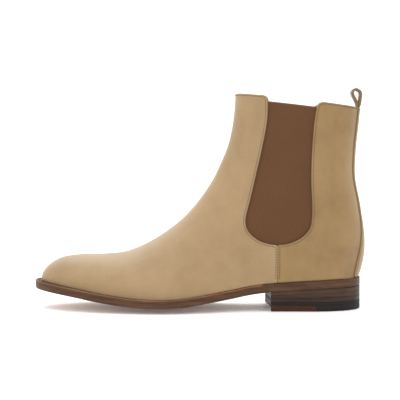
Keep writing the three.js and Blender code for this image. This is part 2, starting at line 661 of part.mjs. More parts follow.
function filler() {
  const bed = outline(() => -WELT_LAND - GAP);
  return drilled(plate(bed, 0, WELT_BOTTOM).subtract(shankAt(GAP)));
}

function lift(i) {
  const height = (n) => (x) => THREE.MathUtils.lerp(heelBottom(x), TOP_PIECE_THICK, n / LIFT_COUNT);
  const topFace = (x) => height(i)(x) - GAP;
  const body = plate(sole, topFace, height(i + 1), WIDE_Y);
  return drilled(body.intersect(heelBlock(-FAR, FAR)));
}

function topPiece(z0, z1) {
  return plate(sole, level(z1), level(z0), WIDE_Y).intersect(heelBlock(z0 - 1, z1 + 1));
}
const insertEnd = breastX + INSERT_LENGTH;
const box = (x0, x1, z0, z1) => sidePrism([[x0, z0], [x1, z0], [x1, z1], [x0, z1]]);

function rubberPiece() {
  const hollow = box(-FAR, insertEnd + GAP, -1, INSERT_THICK + GAP);
  return drilled(topPiece(0, TOP_PIECE_THICK - GAP).subtract(hollow));
}

function leatherInsert() {
  return drilled(topPiece(0, INSERT_THICK).intersect(box(-FAR, insertEnd, -1, INSERT_THICK + 1)));
}

// ---- Finishes ----
const finish = (color, roughness, metalness = 0) =>
  new THREE.MeshStandardMaterial({ color, roughness, metalness, flatShading: true });
const nubuck = finish("#b8996b", 0.85);
const liningLeather = finish("#c9ab80", 0.6);
const elastic = finish("#6f4c33", 0.9);
const soleLeather = finish("#5e4030", 0.5);
const weltLeather = finish("#8a5f3e", 0.5);
const stackLeather = finish("#54392b", 0.5);
const rubber = finish("#2d2a28", 0.7);
const board = finish("#c8b08a", 0.9);
const cork = finish("#9c7a52", 0.95);
const steel = finish("#8f9296", 0.35, 1);
const brass = finish("#b58d3d", 0.3, 1);

// ---- Assembly ----
const boot = new THREE.Group();
function add(name, solid, material) {
  const mesh = new THREE.Mesh(geometryOf(solid), material);
  mesh.name = name;
  boot.add(mesh);
}

add("vamp", upperLayer.intersect(frontSide), nubuck);
add("vamp_lining", liningLayer.intersect(frontSide), liningLeather);
for (const side of ["lateral", "medial"]) {
  add(`quarter_${side}`, quarter(upperLayer, side), nubuck);
  add(`quarter_lining_${side}`, quarter(liningLayer, side), liningLeather);
  add(`gore_${side}`, gore(side), elastic);
}
add("toe_puff", toePuff(), board);
add("heel_counter", heelCounter(), board);
add("back_strip", backStrip(), nubuck);
add("pull_loop", pullLoop(), nubuck);
const sockTop = INSOLE_TOP - GAP - SOCK_THICK;
add("sock_lining", inUpper(plate(insideUpper, sockTop, INSOLE_TOP - GAP)), liningLeather);
add("insole", drilled(inUpper(plate(insideUpper, INSOLE_TOP, -GAP))), board);
add("cork_filler", filler(), cork);
add("shank", shankAt(0), steel);
add("welt", weltRing().intersect(box(-FAR, splitX - GAP, -FAR, FAR)), weltLeather);
add("heel_rand", weltRing().intersect(box(splitX, FAR, -FAR, FAR)), soleLeather);
add("outsole", drilled(plate(sole, OUTSOLE_TOP, OUTSOLE_BOTTOM)), soleLeather);
for (let i = 0; i < LIFT_COUNT; i++) add(`heel_lift_${i + 1}`, lift(i), stackLeather);
add("top_piece_rubber", rubberPiece(), rubber);
add("top_piece_leather", leatherInsert(), soleLeather);
topNails().forEach((p, i) => add(`top_piece_nail_${i + 1}`, topNail(p, 0), brass));
heelNails().forEach((p, i) => add(`heel_nail_${i + 1}`, heelNail(p), steel));

// The origin is on the floor, at the middle of the boot's length and width.
const bounds = new THREE.Box3().setFromObject(boot);
boot.position.set(-(bounds.min.x + bounds.max.x) / 2, -(bounds.min.y + bounds.max.y) / 2, -bounds.min.z);

export default boot;
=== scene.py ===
# %% [markdown]
# # A Chelsea boot
# The engineered model of this boot is already packed: its pieces, their sizes and the hinge of the pull
# loop. This lesson dresses it. Every piece that shows is made again at a fine grain, in the same place,
# and gets the look of nubuck, elastic, waxed leather edge, rubber or thread.

# %% Load the frame
import json
import math

import bmesh
import bpy
import numpy as np
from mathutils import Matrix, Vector


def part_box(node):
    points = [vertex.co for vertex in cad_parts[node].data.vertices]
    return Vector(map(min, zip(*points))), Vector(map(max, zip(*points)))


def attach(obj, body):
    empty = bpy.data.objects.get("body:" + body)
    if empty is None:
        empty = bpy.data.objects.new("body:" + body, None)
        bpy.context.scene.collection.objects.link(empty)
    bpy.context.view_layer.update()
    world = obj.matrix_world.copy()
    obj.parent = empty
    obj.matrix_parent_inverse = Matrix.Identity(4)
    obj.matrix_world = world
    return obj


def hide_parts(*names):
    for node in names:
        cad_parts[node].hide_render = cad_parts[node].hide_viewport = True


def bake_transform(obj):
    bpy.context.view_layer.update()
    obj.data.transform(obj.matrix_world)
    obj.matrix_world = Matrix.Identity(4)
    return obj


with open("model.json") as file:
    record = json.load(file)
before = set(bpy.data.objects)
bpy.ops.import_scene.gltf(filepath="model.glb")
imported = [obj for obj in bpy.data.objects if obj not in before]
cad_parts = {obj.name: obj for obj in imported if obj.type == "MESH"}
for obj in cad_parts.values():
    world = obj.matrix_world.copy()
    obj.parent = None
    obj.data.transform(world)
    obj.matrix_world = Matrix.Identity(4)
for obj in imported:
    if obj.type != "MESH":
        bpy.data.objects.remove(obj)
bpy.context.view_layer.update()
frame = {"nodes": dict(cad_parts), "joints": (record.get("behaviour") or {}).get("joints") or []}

MM = 0.001
LOOP_HINGE = (147.0, 188.7)  # x and z of the pull loop's hinge in the millimetres of this lesson
shank_low, shank_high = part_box("shank")
loop_hinge = Vector(frame["joints"][0]["pos_m"])
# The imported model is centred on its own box, so its middle plane sits a hair off zero.
shift = np.array([loop_hinge.x / MM - LOOP_HINGE[0], (shank_low[1] + shank_high[1]) / 2 / MM, 0.0])

# %% [markdown]
# ## Camera
# A product picture is taken from far away with a long lens, so the near and far side of the boot look
# nearly the same size. The camera stands a little over a metre from the boot, at the height of the
# ankle, and looks down a few degrees. The width of the view is easier to reason about than a focal
# length: it has to be 374 mm where the boot stands.

# %% Camera
camera_distance = 1.15
camera_height = 0.161
aim_height = 0.1003
picture_width = 0.3738

camera_data = bpy.data.cameras.new("camera")
camera = bpy.data.objects.new("camera", camera_data)
bpy.context.collection.objects.link(camera)
camera.location = (0.0, -camera_distance, camera_height)
view_line = Vector((0.0, 0.0, aim_height)) - camera.location
camera.rotation_euler = view_line.to_track_quat("-Z", "Y").to_euler()
camera_data.sensor_width = 36.0
camera_data.lens = 36.0 * view_line.length / picture_width
bpy.context.scene.camera = camera
print("lens", round(camera_data.lens, 1), "mm")

# %% [markdown]
# ## Lamps
# The boot stands on a white table in a white room. A bright, even world does most of the lighting, and
# only the places that the boot shades stay grey. Three wide, weak lamps add to it: one from above gives
# the leather its gentle change from light on top to darker at the sides, one in front lifts the toe, and
# one behind, a little blue, keeps the shade from going brown.

# %% Lamps
def soft_lamp(name, place, aim, width, height, power, colour=(1.0, 1.0, 1.0)):
    data = bpy.data.lights.new(name, "AREA")
    data.color = colour
    data.shape = "RECTANGLE"
    data.size, data.size_y = width, height
    data.energy = power
    lamp = bpy.data.objects.new(name, data)
    lamp.location = place
    lamp.rotation_euler = (Vector(aim) - Vector(place)).to_track_quat("-Z", "Y").to_euler()
    bpy.context.collection.objects.link(lamp)
    return lamp


soft_lamp("lamp_top", (-0.25, -0.35, 1.3), (0.0, 0.0, 0.05), 1.2, 1.0, 6, (0.92, 0.96, 1.0))
soft_lamp("lamp_front", (-0.9, -1.3, 0.75), (0.0, 0.0, 0.08), 0.9, 0.9, 1.5)
soft_lamp("lamp_back", (-0.35, 0.75, 1.1), (-0.05, 0.0, 0.05), 1.2, 0.8, 8, (0.78, 0.89, 1.0))
print("lamps:", len(bpy.data.lights))

# %% [markdown]
# ## World and floor
# The Standard view transform keeps a white floor white, where the default one would turn it grey. The
# floor is so wide that its edge never shows, and it lies a hair under the sole, so that the two faces
# don't flicker through each other. It glows a little, like a light table, which keeps the shadows pale.

# %% World and floor
WORLD_LIGHT = 1.35
FLOOR_REACH = 30
FLOOR_DROP = 0.0002
scene = bpy.context.scene
scene.view_settings.view_transform = "Standard"
scene.view_settings.look = "None"

world = bpy.data.worlds.new("studio")
world.use_nodes = True
scene.world = world
background = world.node_tree.nodes["Background"]
background.inputs["Color"].default_value = (1.0, 1.0, 1.0, 1.0)
background.inputs["Strength"].default_value = WORLD_LIGHT

floor_mesh = bpy.data.meshes.new("floor")
corners = [(FLOOR_REACH * x, FLOOR_REACH * y, 0) for x, y in ((-1, -1), (1, -1), (1, 1), (-1, 1))]
floor_mesh.from_pydata(corners, [], [(0, 1, 2, 3)])
floor = bpy.data.objects.new("floor", floor_mesh)
bpy.context.collection.objects.link(floor)
floor.location.z = -FLOOR_DROP
floor_paint = bpy.data.materials.new("floor_white")
floor_paint.use_nodes = True
floor_sockets = floor_paint.node_tree.nodes["Principled BSDF"].inputs
floor_sockets["Base Color"].default_value = (0.9, 0.9, 0.9, 1)
floor_sockets["Roughness"].default_value = 0.6
floor_sockets["Emission Color"].default_value = (0.9, 0.95, 1.0, 1)
floor_sockets["Emission Strength"].default_value = 0.1
floor_mesh.materials.append(floor_paint)
print("floor:", 2 * FLOOR_REACH, "m wide")

# %% [markdown]
# ## The last's lines
# A boot is shaped on a last, a wooden foot. Three sets of lines describe it here, in millimetres: the
# seat line, which is the side view of the bottom; the plan of the bottom's edge, called the feather
# edge; and a row of sections that fan out from the toe to the top of the shaft. Lines need few numbers
# and bend smoothly, which is why they come before any mesh.

# %% The last's lines
BALL = -38.0
BREAST = 65.0  # the front face of the heel
# x and the height of the seat over its height at the ball
SEAT_LINE = np.array([
    (-160, 14.2), (-148.8, 13), (-117, 9), (-88, 4.5), (-62, 1.3), (BALL, 0), (-12, 0.9), (24, 6.2),
    (47, 10.6), (BREAST, 12.75), (118, 16), (147.2, 16.6), (160, 16.7),
])
# x and the share of the ball's crown by which the bottom hangs in its middle
CROWN_LINE = np.array([
    (-160, 0.8), (-100, 0.9), (BALL, 1), (10, 0.9), (50, 0.2), (BREAST - 5, 0), (160, 0),
])
# x and how far the sole stands out past the feather edge
MARGIN_LINE = np.array([
    (-160, 5.7), (-145, 5.7), (BALL, 5.5), (0, 4.125), (32, 1.9), (BREAST, 1.5), (125, 1.5),
    (147.2, 2.5), (160, 2.5),
])
# x and y of the feather edge from toe to heel, on the outer and the inner side
LATERAL_PLAN = [
    (-148.8, 4), (-147.6, -2.5), (-143.5, -9.5), (-135, -17.5), (-120, -26.5), (-98, -35.5),
    (-72, -42), (-45, -45.8), (-20, -45.6), (5, -40.5), (30, -34.5), (58, -31.2), (88, -31.3),
    (112, -31), (130, -26), (141, -17), (146.1, -7.5), (147.2, 0),
]
MEDIAL_PLAN = [
    (-148.8, 4), (-148, 9.5), (-144, 16.5), (-136, 23.5), (-121, 31), (-99, 38.8), (-74, 44),
    (-50, 46), (-27, 43), (-3, 34.5), (22, 28.5), (50, 27), (80, 29), (108, 31), (129, 27),
    (141, 17.5), (146.1, 7.5), (147.2, 0),
]
SEAT_AT_BALL = 12.5
BALL_CROWN = 4.7
BALL_HALF_WIDTH = 51.4
print("plan points:", len(LATERAL_PLAN), "lateral and", len(MEDIAL_PLAN), "medial")

# %% [markdown]
# ## Curves through the lines
# A last maker joins the marked points with a bent lath. A curve that passes through every point with an
# even slope does the same: one helper gives its value at any x, another gives points along a line in
# the plane. The seat line comes first, as the height of the bottom at any x.

# %% Curves through the lines
def catmull(a, b, c, d, t):
    """Smooth value between b and c."""
    m0, m1, s = (c - a) / 2, (d - b) / 2, t * t
    return b + m0 * t + (3 * (c - b) - 2 * m0 - m1) * s + (2 * (b - c) + m0 + m1) * s * t


def curve_at(points, x):
    """Value at x of a smooth curve through points (x, value)."""
    xs, vs = points[:, 0], points[:, 1]
    before, after = np.r_[0, np.arange(len(xs) - 1)], np.r_[np.arange(1, len(xs)), len(xs) - 1]
    slope = (vs[after] - vs[before]) / (xs[after] - xs[before])
    x = np.clip(x, xs[0], xs[-1])
    i = np.clip(np.searchsorted(xs, x, side="right") - 1, 0, len(xs) - 2)
    w = xs[i + 1] - xs[i]
    t = (x - xs[i]) / w
    m0, m1, rise = slope[i] * w, slope[i + 1] * w, vs[i + 1] - vs[i]
    return vs[i] + m0 * t + (3 * rise - 2 * m0 - m1) * t**2 + (m0 + m1 - 2 * rise) * t**3


def smooth_line(points, steps):
    """Points of a smooth line through the given ones."""
    p = np.asarray(points, float)
    p = np.vstack([p[:1], p, p[-1:]])
    line = [
        catmull(p[i - 1], p[i], p[i + 1], p[i + 2], s / steps)
        for i in range(1, len(p) - 2)
        for s in range(steps)
    ]
    return np.array([*line, p[-1]])


def seat(x):
    """Height of the bottom's edge at x, above the floor."""
    return SEAT_AT_BALL + curve_at(SEAT_LINE, x)


print("seat at ball and breast:", [round(float(seat(x)), 2) for x in (BALL, BREAST)], "mm")

# %% [markdown]
# ## Feather edge and sole edge
# The upper meets the bottom along the feather edge. The sole follows the same ring but stands out past
# it, more at the forepart, where the welt is, than at the waist. A ring that is moved outward along its
# own normals does this, and evenly spaced points keep every edge smooth. The bottom also hangs a
# little between its two edges, as the ball of a real sole does.

# %% Feather edge and sole edge
lateral_edge = smooth_line(LATERAL_PLAN, 12)
medial_edge = smooth_line(MEDIAL_PLAN, 12)
# Both feather lines as one ring: down the lateral side from the toe, back along the medial side.
feather = np.vstack([lateral_edge, medial_edge[-2:0:-1]])
along = np.roll(feather, -1, axis=0) - np.roll(feather, 1, axis=0)
feather_out = np.c_[along[:, 1], -along[:, 0]] / np.linalg.norm(along, axis=1)[:, None]
feather_out *= -1 if (feather_out[:, 0] * feather[:, 0]).sum() < 0 else 1


def ring_at(outward, spacing=1.6):
    """The feather edge moved outward by a number of millimetres for each point, evenly spaced."""
    ring = feather + feather_out * np.broadcast_to(outward, len(feather))[:, None]
    closed = np.vstack([ring, ring[:1]])
    run = np.r_[0, np.cumsum(np.linalg.norm(np.diff(closed, axis=0), axis=1))]
    marks = np.linspace(0, run[-1], int(run[-1] / spacing), endpoint=False)
    return np.c_[np.interp(marks, run, closed[:, 0]), np.interp(marks, run, closed[:, 1])]


sole_margin = curve_at(MARGIN_LINE, feather[:, 0])
sole_ring = ring_at(sole_margin)


def y_on(ring, x, side):
    """y where a ring passes x, on the lateral (-1) or medial (1) side."""
    half = ring[ring[:, 1] * side > 0]
    half = half[np.argsort(half[:, 0])]
    return np.interp(x, half[:, 0], half[:, 1])


def hang(x, y):
    """How far the bottom hangs below the seat line: nothing at its edges, most in the middle."""
    half = (y_on(sole_ring, x, 1) - y_on(sole_ring, x, -1)) / 2
    return BALL_CROWN * curve_at(CROWN_LINE, x) * (half**2 - y**2) / BALL_HALF_WIDTH**2


print("sole ring:", len(sole_ring), "points, length", round(float(np.ptp(sole_ring[:, 0])), 1), "mm")

# %% [markdown]
# ## The skin
# Each section runs from the ridge of the foot, or the front of the shaft, down to the feather edge or
# the back. Its breadth is known at a quarter, half and three quarters of the way. A smooth blend along
# the sections and down each of them gives one continuous skin, and every leather, elastic and lining
# piece of the upper is a part of that skin at its own depth.

# %% The skin
# ridge x, z; foot x, z (0 where it follows the feather edge); fan angle; lean; three breadths
SECTIONS = np.array([
    (-148.8, 25.5, -148.8, 0, 90, 4, 0, 0, 0),
    (-148.5, 29.5, -147.7, 0, 90, 4, 2.9, 5, 6.2),
    (-146, 34.8, -143.8, 0, 90, 4, 5.8, 10.2, 12.6),
    (-140, 41, -137, 0, 90, 4, 8.8, 15.3, 18.7),
    (-129, 46.7, -126, 0, 90, 4, 12, 20.6, 25.2),
    (-112, 49.2, -109, 0, 90, 3.6, 15, 26, 32.2),
    (-90, 49.8, -86, 0, 90, 3, 17, 30.2, 38.5),
    (-69, 52.3, -62, 0, 90, 2.4, 17.5, 32, 42),
    (-50, 59.9, -37, 0, 90, 2, 16.5, 30.5, 41),
    (-32, 70.8, -10, 0, 90, 2, 15.5, 28.5, 38),
    (-15, 84.4, 22, 0, 92, 2, 15, 27, 34),
    (-1, 100, 62, 0, 105, 1.5, 16, 28, 33.5),
    (9.5, 115, 106, 0, 125, 1, 18, 30, 34),
    (13.8, 122.5, 131, 0, 150, 0.5, 19.5, 32, 33),
    (17, 129, 147.2, 29.1, 180, 0, 21, 33.5, 28),
    (21.3, 138.5, 153.1, 58, 180, 0, 20.8, 32.5, 27),
    (25.9, 150.5, 149, 92, 180, 0, 20.4, 31.2, 25.5),
    (29.2, 163.5, 143.5, 122, 180, 0, 19.8, 30, 23.4),
    (31.4, 177, 144, 148, 180, 0, 19.6, 29.6, 22.2),
    (32.6, 190.5, 146.5, 173, 180, 0, 19.8, 30, 22.4),
    (33.2, 208, 149.3, 202, 180, 0, 20.2, 30.7, 22.9),
])
HEEL_SECTION = 14  # the first section that closes round the back
print("sections:", len(SECTIONS))

# %% [markdown]
# ## A row of the skin
# Between two sections the numbers blend smoothly, so a row of points can be made anywhere along the
# foot. On its way down, a row moves as the cosine of the fan angle, which makes it leave the ridge
# level and lets it turn under at the back of the heel.

# %% A row of the skin
def skin_row(t, v):
    """Points of the skin across one row: v runs from -1, lateral, over the ridge at 0, to 1, medial."""
    i = min(int(t), len(SECTIONS) - 2)
    a, b, c, d = SECTIONS[np.clip([i - 1, i, i + 1, i + 2], 0, len(SECTIONS) - 1)]
    ridge_x, ridge_z, foot_x, foot_z, fan, lean, *breadths = catmull(a, b, c, d, t - i)
    closed = t >= HEEL_SECTION
    edges = np.zeros(2)
    if not closed:
        edges = np.array([
            np.interp(foot_x, lateral_edge[:, 0], lateral_edge[:, 1]),
            np.interp(foot_x, medial_edge[:, 0], medial_edge[:, 1]),
        ])
    end = (edges[1] - edges[0]) / 2
    side = np.where(v < 0, edges[0], edges[1])
    foot_z = foot_z if closed else seat(foot_x) - hang(np.full(len(v), foot_x), side)
    depth = np.abs(v)
    fan = math.radians(min(fan, 180))
    down = (1 - np.cos(fan * depth)) / (1 - math.cos(fan))
    q, h, w = np.maximum(breadths, 0)
    ladder = np.array([-q, 0, q, h, w, end, 2 * end - w])
    rung = np.minimum((depth * 4).astype(int), 3)
    breadth = catmull(ladder[rung], ladder[rung + 1], ladder[rung + 2], ladder[rung + 3], depth * 4 - rung)
    middle = lean + (edges.sum() / 2 - lean) * depth**2
    return np.c_[
        ridge_x + (foot_x - ridge_x) * down,
        middle + np.sign(v) * breadth,
        ridge_z + (foot_z - ridge_z) * down,
    ]


print("breadth near the ball:", round(float(np.ptp(skin_row(8.0, np.linspace(-1, 1, 41))[:, 1])), 1), "mm")

# %% [markdown]
# ## The whole skin
# Rows are laid about a grain apart. Where the open sections meet the closed ones, near the heel, the
# rows are eased towards each other until the back is even. Normals come from the grid itself, and the
# two borders of the closed part share their points, so the back has no slit.

# %% The whole skin
GRAIN = 1.45
EASE_WIDTH = 0.9
EASE_ROUNDS = 160


def make_skin(grain):
    """The whole skin as points, outward normals and triangles, about one grain apart."""
    rows = [0.0]
    for i in range(len(SECTIONS) - 1):
        step = SECTIONS[i + 1, [0, 1, 2]] - SECTIONS[i, [0, 1, 2]]
        n = max(3, int(np.hypot(max(abs(step[0]), abs(step[2])), abs(step[1])) / grain))
        rows += [i + (k + 1) / n for k in range(n)]
    half = int(130 / grain)
    v = np.linspace(-1, 1, 2 * half + 1)
    grid = np.array([skin_row(t, v) for t in rows])
    near = np.exp(-(((np.array(rows) - HEEL_SECTION) / EASE_WIDTH) ** 2))[1:-1, None, None]
    ease = 0.5 * near * np.clip((1 - np.abs(v)) / 0.12, 0, 1)[None, :, None]
    for _ in range(EASE_ROUNDS):
        grid[1:-1] += ease * ((grid[:-2] + grid[2:]) / 2 - grid[1:-1])
    du = np.gradient(grid, axis=0)
    dv = np.gradient(grid, axis=1)
    heel = np.array(rows) >= HEEL_SECTION
    back = (grid[heel, 1] - grid[heel, -2]) / 2
    dv[heel, 0] = dv[heel, -1] = back
    normal = np.cross(dv, du)
    normal[0] = (-1, 0, 0.2)
    normal /= np.linalg.norm(normal, axis=2)[:, :, None] + 1e-12
    if normal[len(rows) // 2, half, 2] < 0:
        normal[1:] *= -1
    ids = np.arange(len(rows) * len(v)).reshape(len(rows), len(v))
    ids[0, :] = ids[0, half]
    ids[heel, -1] = ids[heel, 0]
    a, b, c, d = ids[:-1, :-1], ids[:-1, 1:], ids[1:, 1:], ids[1:, :-1]
    tri = np.vstack([np.stack(three, -1).reshape(-1, 3) for three in ([a, d, c], [a, c, b])])
    real = (tri[:, 0] != tri[:, 1]) & (tri[:, 1] != tri[:, 2]) & (tri[:, 0] != tri[:, 2])
    return {"co": grid.reshape(-1, 3), "no": normal.reshape(-1, 3), "tri": tri[real]}


skin = make_skin(GRAIN)
flat = skin["co"][skin["tri"]]
facing = np.cross(flat[:, 1] - flat[:, 0], flat[:, 2] - flat[:, 0])
agree = ((facing * skin["no"][skin["tri"][:, 0]]).sum(1) > 0).mean()
print("skin:", len(skin["co"]), "points;", round(float(agree), 3), "of its faces agree with their normals")

# %% [markdown]
# ## Cutting patterns out of the skin
# A clicker cuts leather with a knife along a pattern. Here the knife is a number on every point of the
# skin: its distance from the edge of the pattern, above zero inside. Splitting the triangles where that
# number passes zero gives a clean edge that doesn't depend on the grid. Splitting again a little
# further in leaves rows of points where the edge is rounded and where the stitching runs. A sheet is
# kept as a small dictionary of arrays: points, normals, triangles, and any number on the points.

# %% The knife
def cut(sheet, key, level):
    """Splits the triangles of a sheet where its number `key` passes a level."""
    f = sheet[key] - level
    f = np.where(np.abs(f) < 1e-4, 1e-4, f)
    tri = sheet["tri"]
    above = f[tri] > 0
    count = above.sum(1)
    crossed = (count == 1) | (count == 2)
    t, up, k = tri[crossed], above[crossed], count[crossed]
    if not len(t):
        return sheet
    lone = np.where(k == 1, up.argmax(1), up.argmin(1))
    r = np.arange(len(t))
    a, b, c = t[r, lone], t[r, (lone + 1) % 3], t[r, (lone + 2) % 3]
    pairs = np.sort(np.vstack([np.c_[a, b], np.c_[a, c]]), axis=1)
    ends, index = np.unique(pairs, axis=0, return_inverse=True)
    index = index.ravel()
    s = f[ends[:, 0]] / (f[ends[:, 0]] - f[ends[:, 1]])
    made = {}
    for name, value in sheet.items():
        if name != "tri":
            w = s[:, None] if value.ndim == 2 else s
            between = value[ends[:, 0]] * (1 - w) + value[ends[:, 1]] * w
            made[name] = np.concatenate([value, between])
    n = len(f)
    made[key][n:] = level
    p, q = n + index[: len(t)], n + index[len(t):]
    made["tri"] = np.vstack([tri[~crossed], np.c_[a, p, q], np.c_[p, b, c], np.c_[p, c, q]])
    return made


def keep(sheet, key):
    """The part of a sheet where its number `key` is above zero."""
    sheet = cut(sheet, key, 0.0)
    tri = sheet["tri"][sheet[key][sheet["tri"]].mean(1) > 1e-5]
    used, index = np.unique(tri, return_inverse=True)
    kept = {name: value[used] for name, value in sheet.items() if name != "tri"}
    kept["tri"] = index.reshape(-1, 3)
    return kept


level_cut = cut({**skin, "height": skin["co"][:, 2]}, "height", 100.0)
print("a level cut through the skin adds", len(level_cut["co"]) - len(skin["co"]), "points")

# %% [markdown]
# ## Distance from an outline
# The number that the knife follows is the distance of a point from the nearest side of the outline. A
# ray to one side tells inside from outside: it crosses the outline an odd number of times from within.

# %% Distance from an outline
def distance_in(points, outline):
    """Distance of 2-D points from a closed outline, above zero inside it."""
    a, b = np.asarray(outline, float), np.roll(np.asarray(outline, float), -1, axis=0)
    best = np.full(len(points), 1e9)
    inside = np.zeros(len(points), bool)
    px, py = points[:, 0], points[:, 1]
    for (ax, ay), (bx, by) in zip(a, b):
        dx, dy = bx - ax, by - ay
        long = dx * dx + dy * dy
        if long < 1e-12:
            continue
        t = np.clip(((px - ax) * dx + (py - ay) * dy) / long, 0, 1)
        best = np.minimum(best, (px - ax - t * dx) ** 2 + (py - ay - t * dy) ** 2)
        if ay != by:
            inside ^= ((ay > py) != (by > py)) & (px < (bx - ax) * (py - ay) / (by - ay) + ax)
    return np.where(inside, 1, -1) * np.sqrt(best)


test_square = [(-1, -1), (1, -1), (1, 1), (-1, 1)]
print("the middle of a square of 2 lies", distance_in(np.zeros((1, 2)), test_square)[0], "from its edge")

# %% [markdown]
# ## From a flat sheet to leather with a thickness
# A cut sheet gets a second copy underneath, and a wall between them along every cut edge. The edge of
# real leather is never a sharp corner, so the top copy sinks in a quarter circle over its last half
# millimetre. The distance from the edge is kept on every point, and the materials use it to darken the
# raw edge.

# %% Thickness
def rounded(distance, radius):
    """How far a rounded edge sinks at a distance from it."""
    d = np.clip(distance, 0, radius)
    return radius - np.sqrt(radius**2 - (radius - d) ** 2)


def put_in_scene(name, co, faces, paint, body="boot", sharp=40, **numbers):
    """A smooth mesh object from points in millimetres, riding on a body of the boot."""
    mesh = bpy.data.meshes.new(name)
    mesh.from_pydata(((np.asarray(co) + shift) * MM).tolist(), [], [list(map(int, f)) for f in faces])
    mesh.validate()
    mesh.shade_smooth()
    mesh.set_sharp_from_angle(angle=math.radians(sharp))
    for key, values in numbers.items():
        if len(mesh.vertices) == len(values):
            numbers_of_mesh = mesh.attributes.new(key, "FLOAT", "POINT").data
            numbers_of_mesh.foreach_set("value", np.asarray(values, float))
    mesh.materials.append(paint)
    piece = bpy.data.objects.new(name, mesh)
    bpy.context.collection.objects.link(piece)
    if body:
        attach(piece, body)
    return piece


def rim_edges(tri):
    """Edges that only one triangle has, in that triangle's direction."""
    e = np.vstack([tri[:, [0, 1]], tri[:, [1, 2]], tri[:, [2, 0]]])
    n = int(tri.max()) + 1
    forward, back = e[:, 0] * n + e[:, 1], e[:, 1] * n + e[:, 0]
    return e[~np.isin(forward, back)]


def leather(name, sheet, outer, inner, paint):
    """A piece of the sheet from one depth to another, in millimetres outward of the skin."""
    n = len(sheet["co"])
    depths = np.broadcast_to(outer, n), np.broadcast_to(inner, n)
    co = np.vstack([sheet["co"] + sheet["no"] * depth[:, None] for depth in depths])
    rim = rim_edges(sheet["tri"])
    a, b = rim[:, 0], rim[:, 1]
    faces = [*sheet["tri"], *(sheet["tri"][:, ::-1] + n), *np.c_[b, a, a + n, b + n]]
    piece = put_in_scene(name, co, faces, paint, edge=np.tile(sheet["edge"], 2))
    print(name, len(faces), "faces")
    return piece


# %% [markdown]
# ## Colours
# Dyes are easiest to name in the 0 to 255 steps that a screen uses. A shader adds up light, so it wants
# linear values. The standard curve between the two turns one into the other.

# %% Colours
def srgb(*steps):
    """Red, green and blue in the 0 to 255 steps of a screen, as the linear colour the shader needs."""
    shares = [step / 255 for step in steps]
    return (*(c / 12.92 if c <= 0.04045 else ((c + 0.055) / 1.055) ** 2.4 for c in shares), 1.0)


print("middle grey:", [round(c, 3) for c in srgb(128, 128, 128)])

# %% [markdown]
# ## Tools for materials
# Each finish is a small tree of nodes. The helper adds a node, sets its sockets and returns it, so that
# the lines of a finish read like its recipe. Numbers that are the same all over a surface go straight
# onto the shader's own sockets. All patterns are laid in the object's own coordinates, in metres, so
# they stay on the leather when the piece moves.

# %% Tools for materials
class Finish:
    """One material: its nodes, and short words for the ones that every finish here needs."""

    def __init__(self, name, roughness=0.5, metallic=0.0, specular=0.5, sheen=0.0):
        self.paint = bpy.data.materials.new(name)
        self.paint.use_nodes = True
        self.tree = self.paint.node_tree
        self.shader = self.tree.nodes["Principled BSDF"]
        for socket, value in (("Roughness", roughness), ("Metallic", metallic),
                              ("Specular IOR Level", specular), ("Sheen Weight", sheen)):
            self.shader.inputs[socket].default_value = value
        self.place = self.node("ShaderNodeTexCoord").outputs["Object"]

    def node(self, kind, settings=(), **inputs):
        """A node with its sockets set by name, or by number where the name is i and a number."""
        made = self.tree.nodes.new(kind)
        for key, value in dict(settings).items():
            setattr(made, key, value)
        for key, value in inputs.items():
            name = key.replace("_", " ")
            by_number = key[0] == "i" and key[1:].isdigit()
            socket = made.inputs[int(key[1:]) if by_number else name]
            if isinstance(value, bpy.types.NodeSocket):
                self.tree.links.new(value, socket)
            else:
                socket.default_value = value
        return made

    def stretch(self, scale, turn=(0, 0, 0)):
        """The object's own coordinates, stretched: scale is in steps per metre along x, y and z."""
        made = self.node("ShaderNodeMapping", Vector=self.place, Scale=scale, Rotation=turn)
        return made.outputs["Vector"]

    def noise(self, scale, detail=3.0, rough=0.55, where=None):
        made = self.node("ShaderNodeTexNoise", Vector=where or self.place, Scale=scale, Detail=detail,
                         Roughness=rough)
        return made.outputs["Fac"]

    def ramp(self, factor, *stops):
        """Colours at positions 0 to 1 along a factor."""
        made = self.node("ShaderNodeValToRGB", Fac=factor)
        parts = made.color_ramp.elements
        while len(parts) < len(stops):
            parts.new(0.5)
        for part, (position, colour) in zip(parts, stops):
            part.position, part.color = position, colour
        return made.outputs["Color"]

    def mix(self, factor, a, b, blend="MIX"):
        settings = {"data_type": "RGBA", "blend_type": blend}
        return self.node("ShaderNodeMix", settings, i0=factor, i6=a, i7=b).outputs[2]

    def math(self, what, a, b=0.0):
        return self.node("ShaderNodeMath", {"operation": what}, i0=a, i1=b).outputs[0]

    def fade(self, value, low, high, to_low=0.0, to_high=1.0):
        """A value from `low` to `high` as a number from to_low to to_high."""
        return self.node("ShaderNodeMapRange", Value=value, From_Min=low, From_Max=high, To_Min=to_low,
                         To_Max=to_high).outputs["Result"]

    def number(self, name):
        return self.node("ShaderNodeAttribute", {"attribute_name": name}).outputs["Fac"]

    def colour(self, socket):
        self.tree.links.new(socket, self.shader.inputs["Base Color"])

    def roughness(self, socket):
        self.tree.links.new(socket, self.shader.inputs["Roughness"])

    def bump(self, *layers):
        """Layers of (height, strength, depth in metres), each on top of the one before."""
        normal = None
        for height, strength, depth in layers:
            made = self.node("ShaderNodeBump", Height=height, Strength=strength, Distance=depth)
            if normal is not None:
                self.tree.links.new(normal, made.inputs["Normal"])
            normal = made.outputs["Normal"]
        self.tree.links.new(normal, self.shader.inputs["Normal"])
        return self.paint


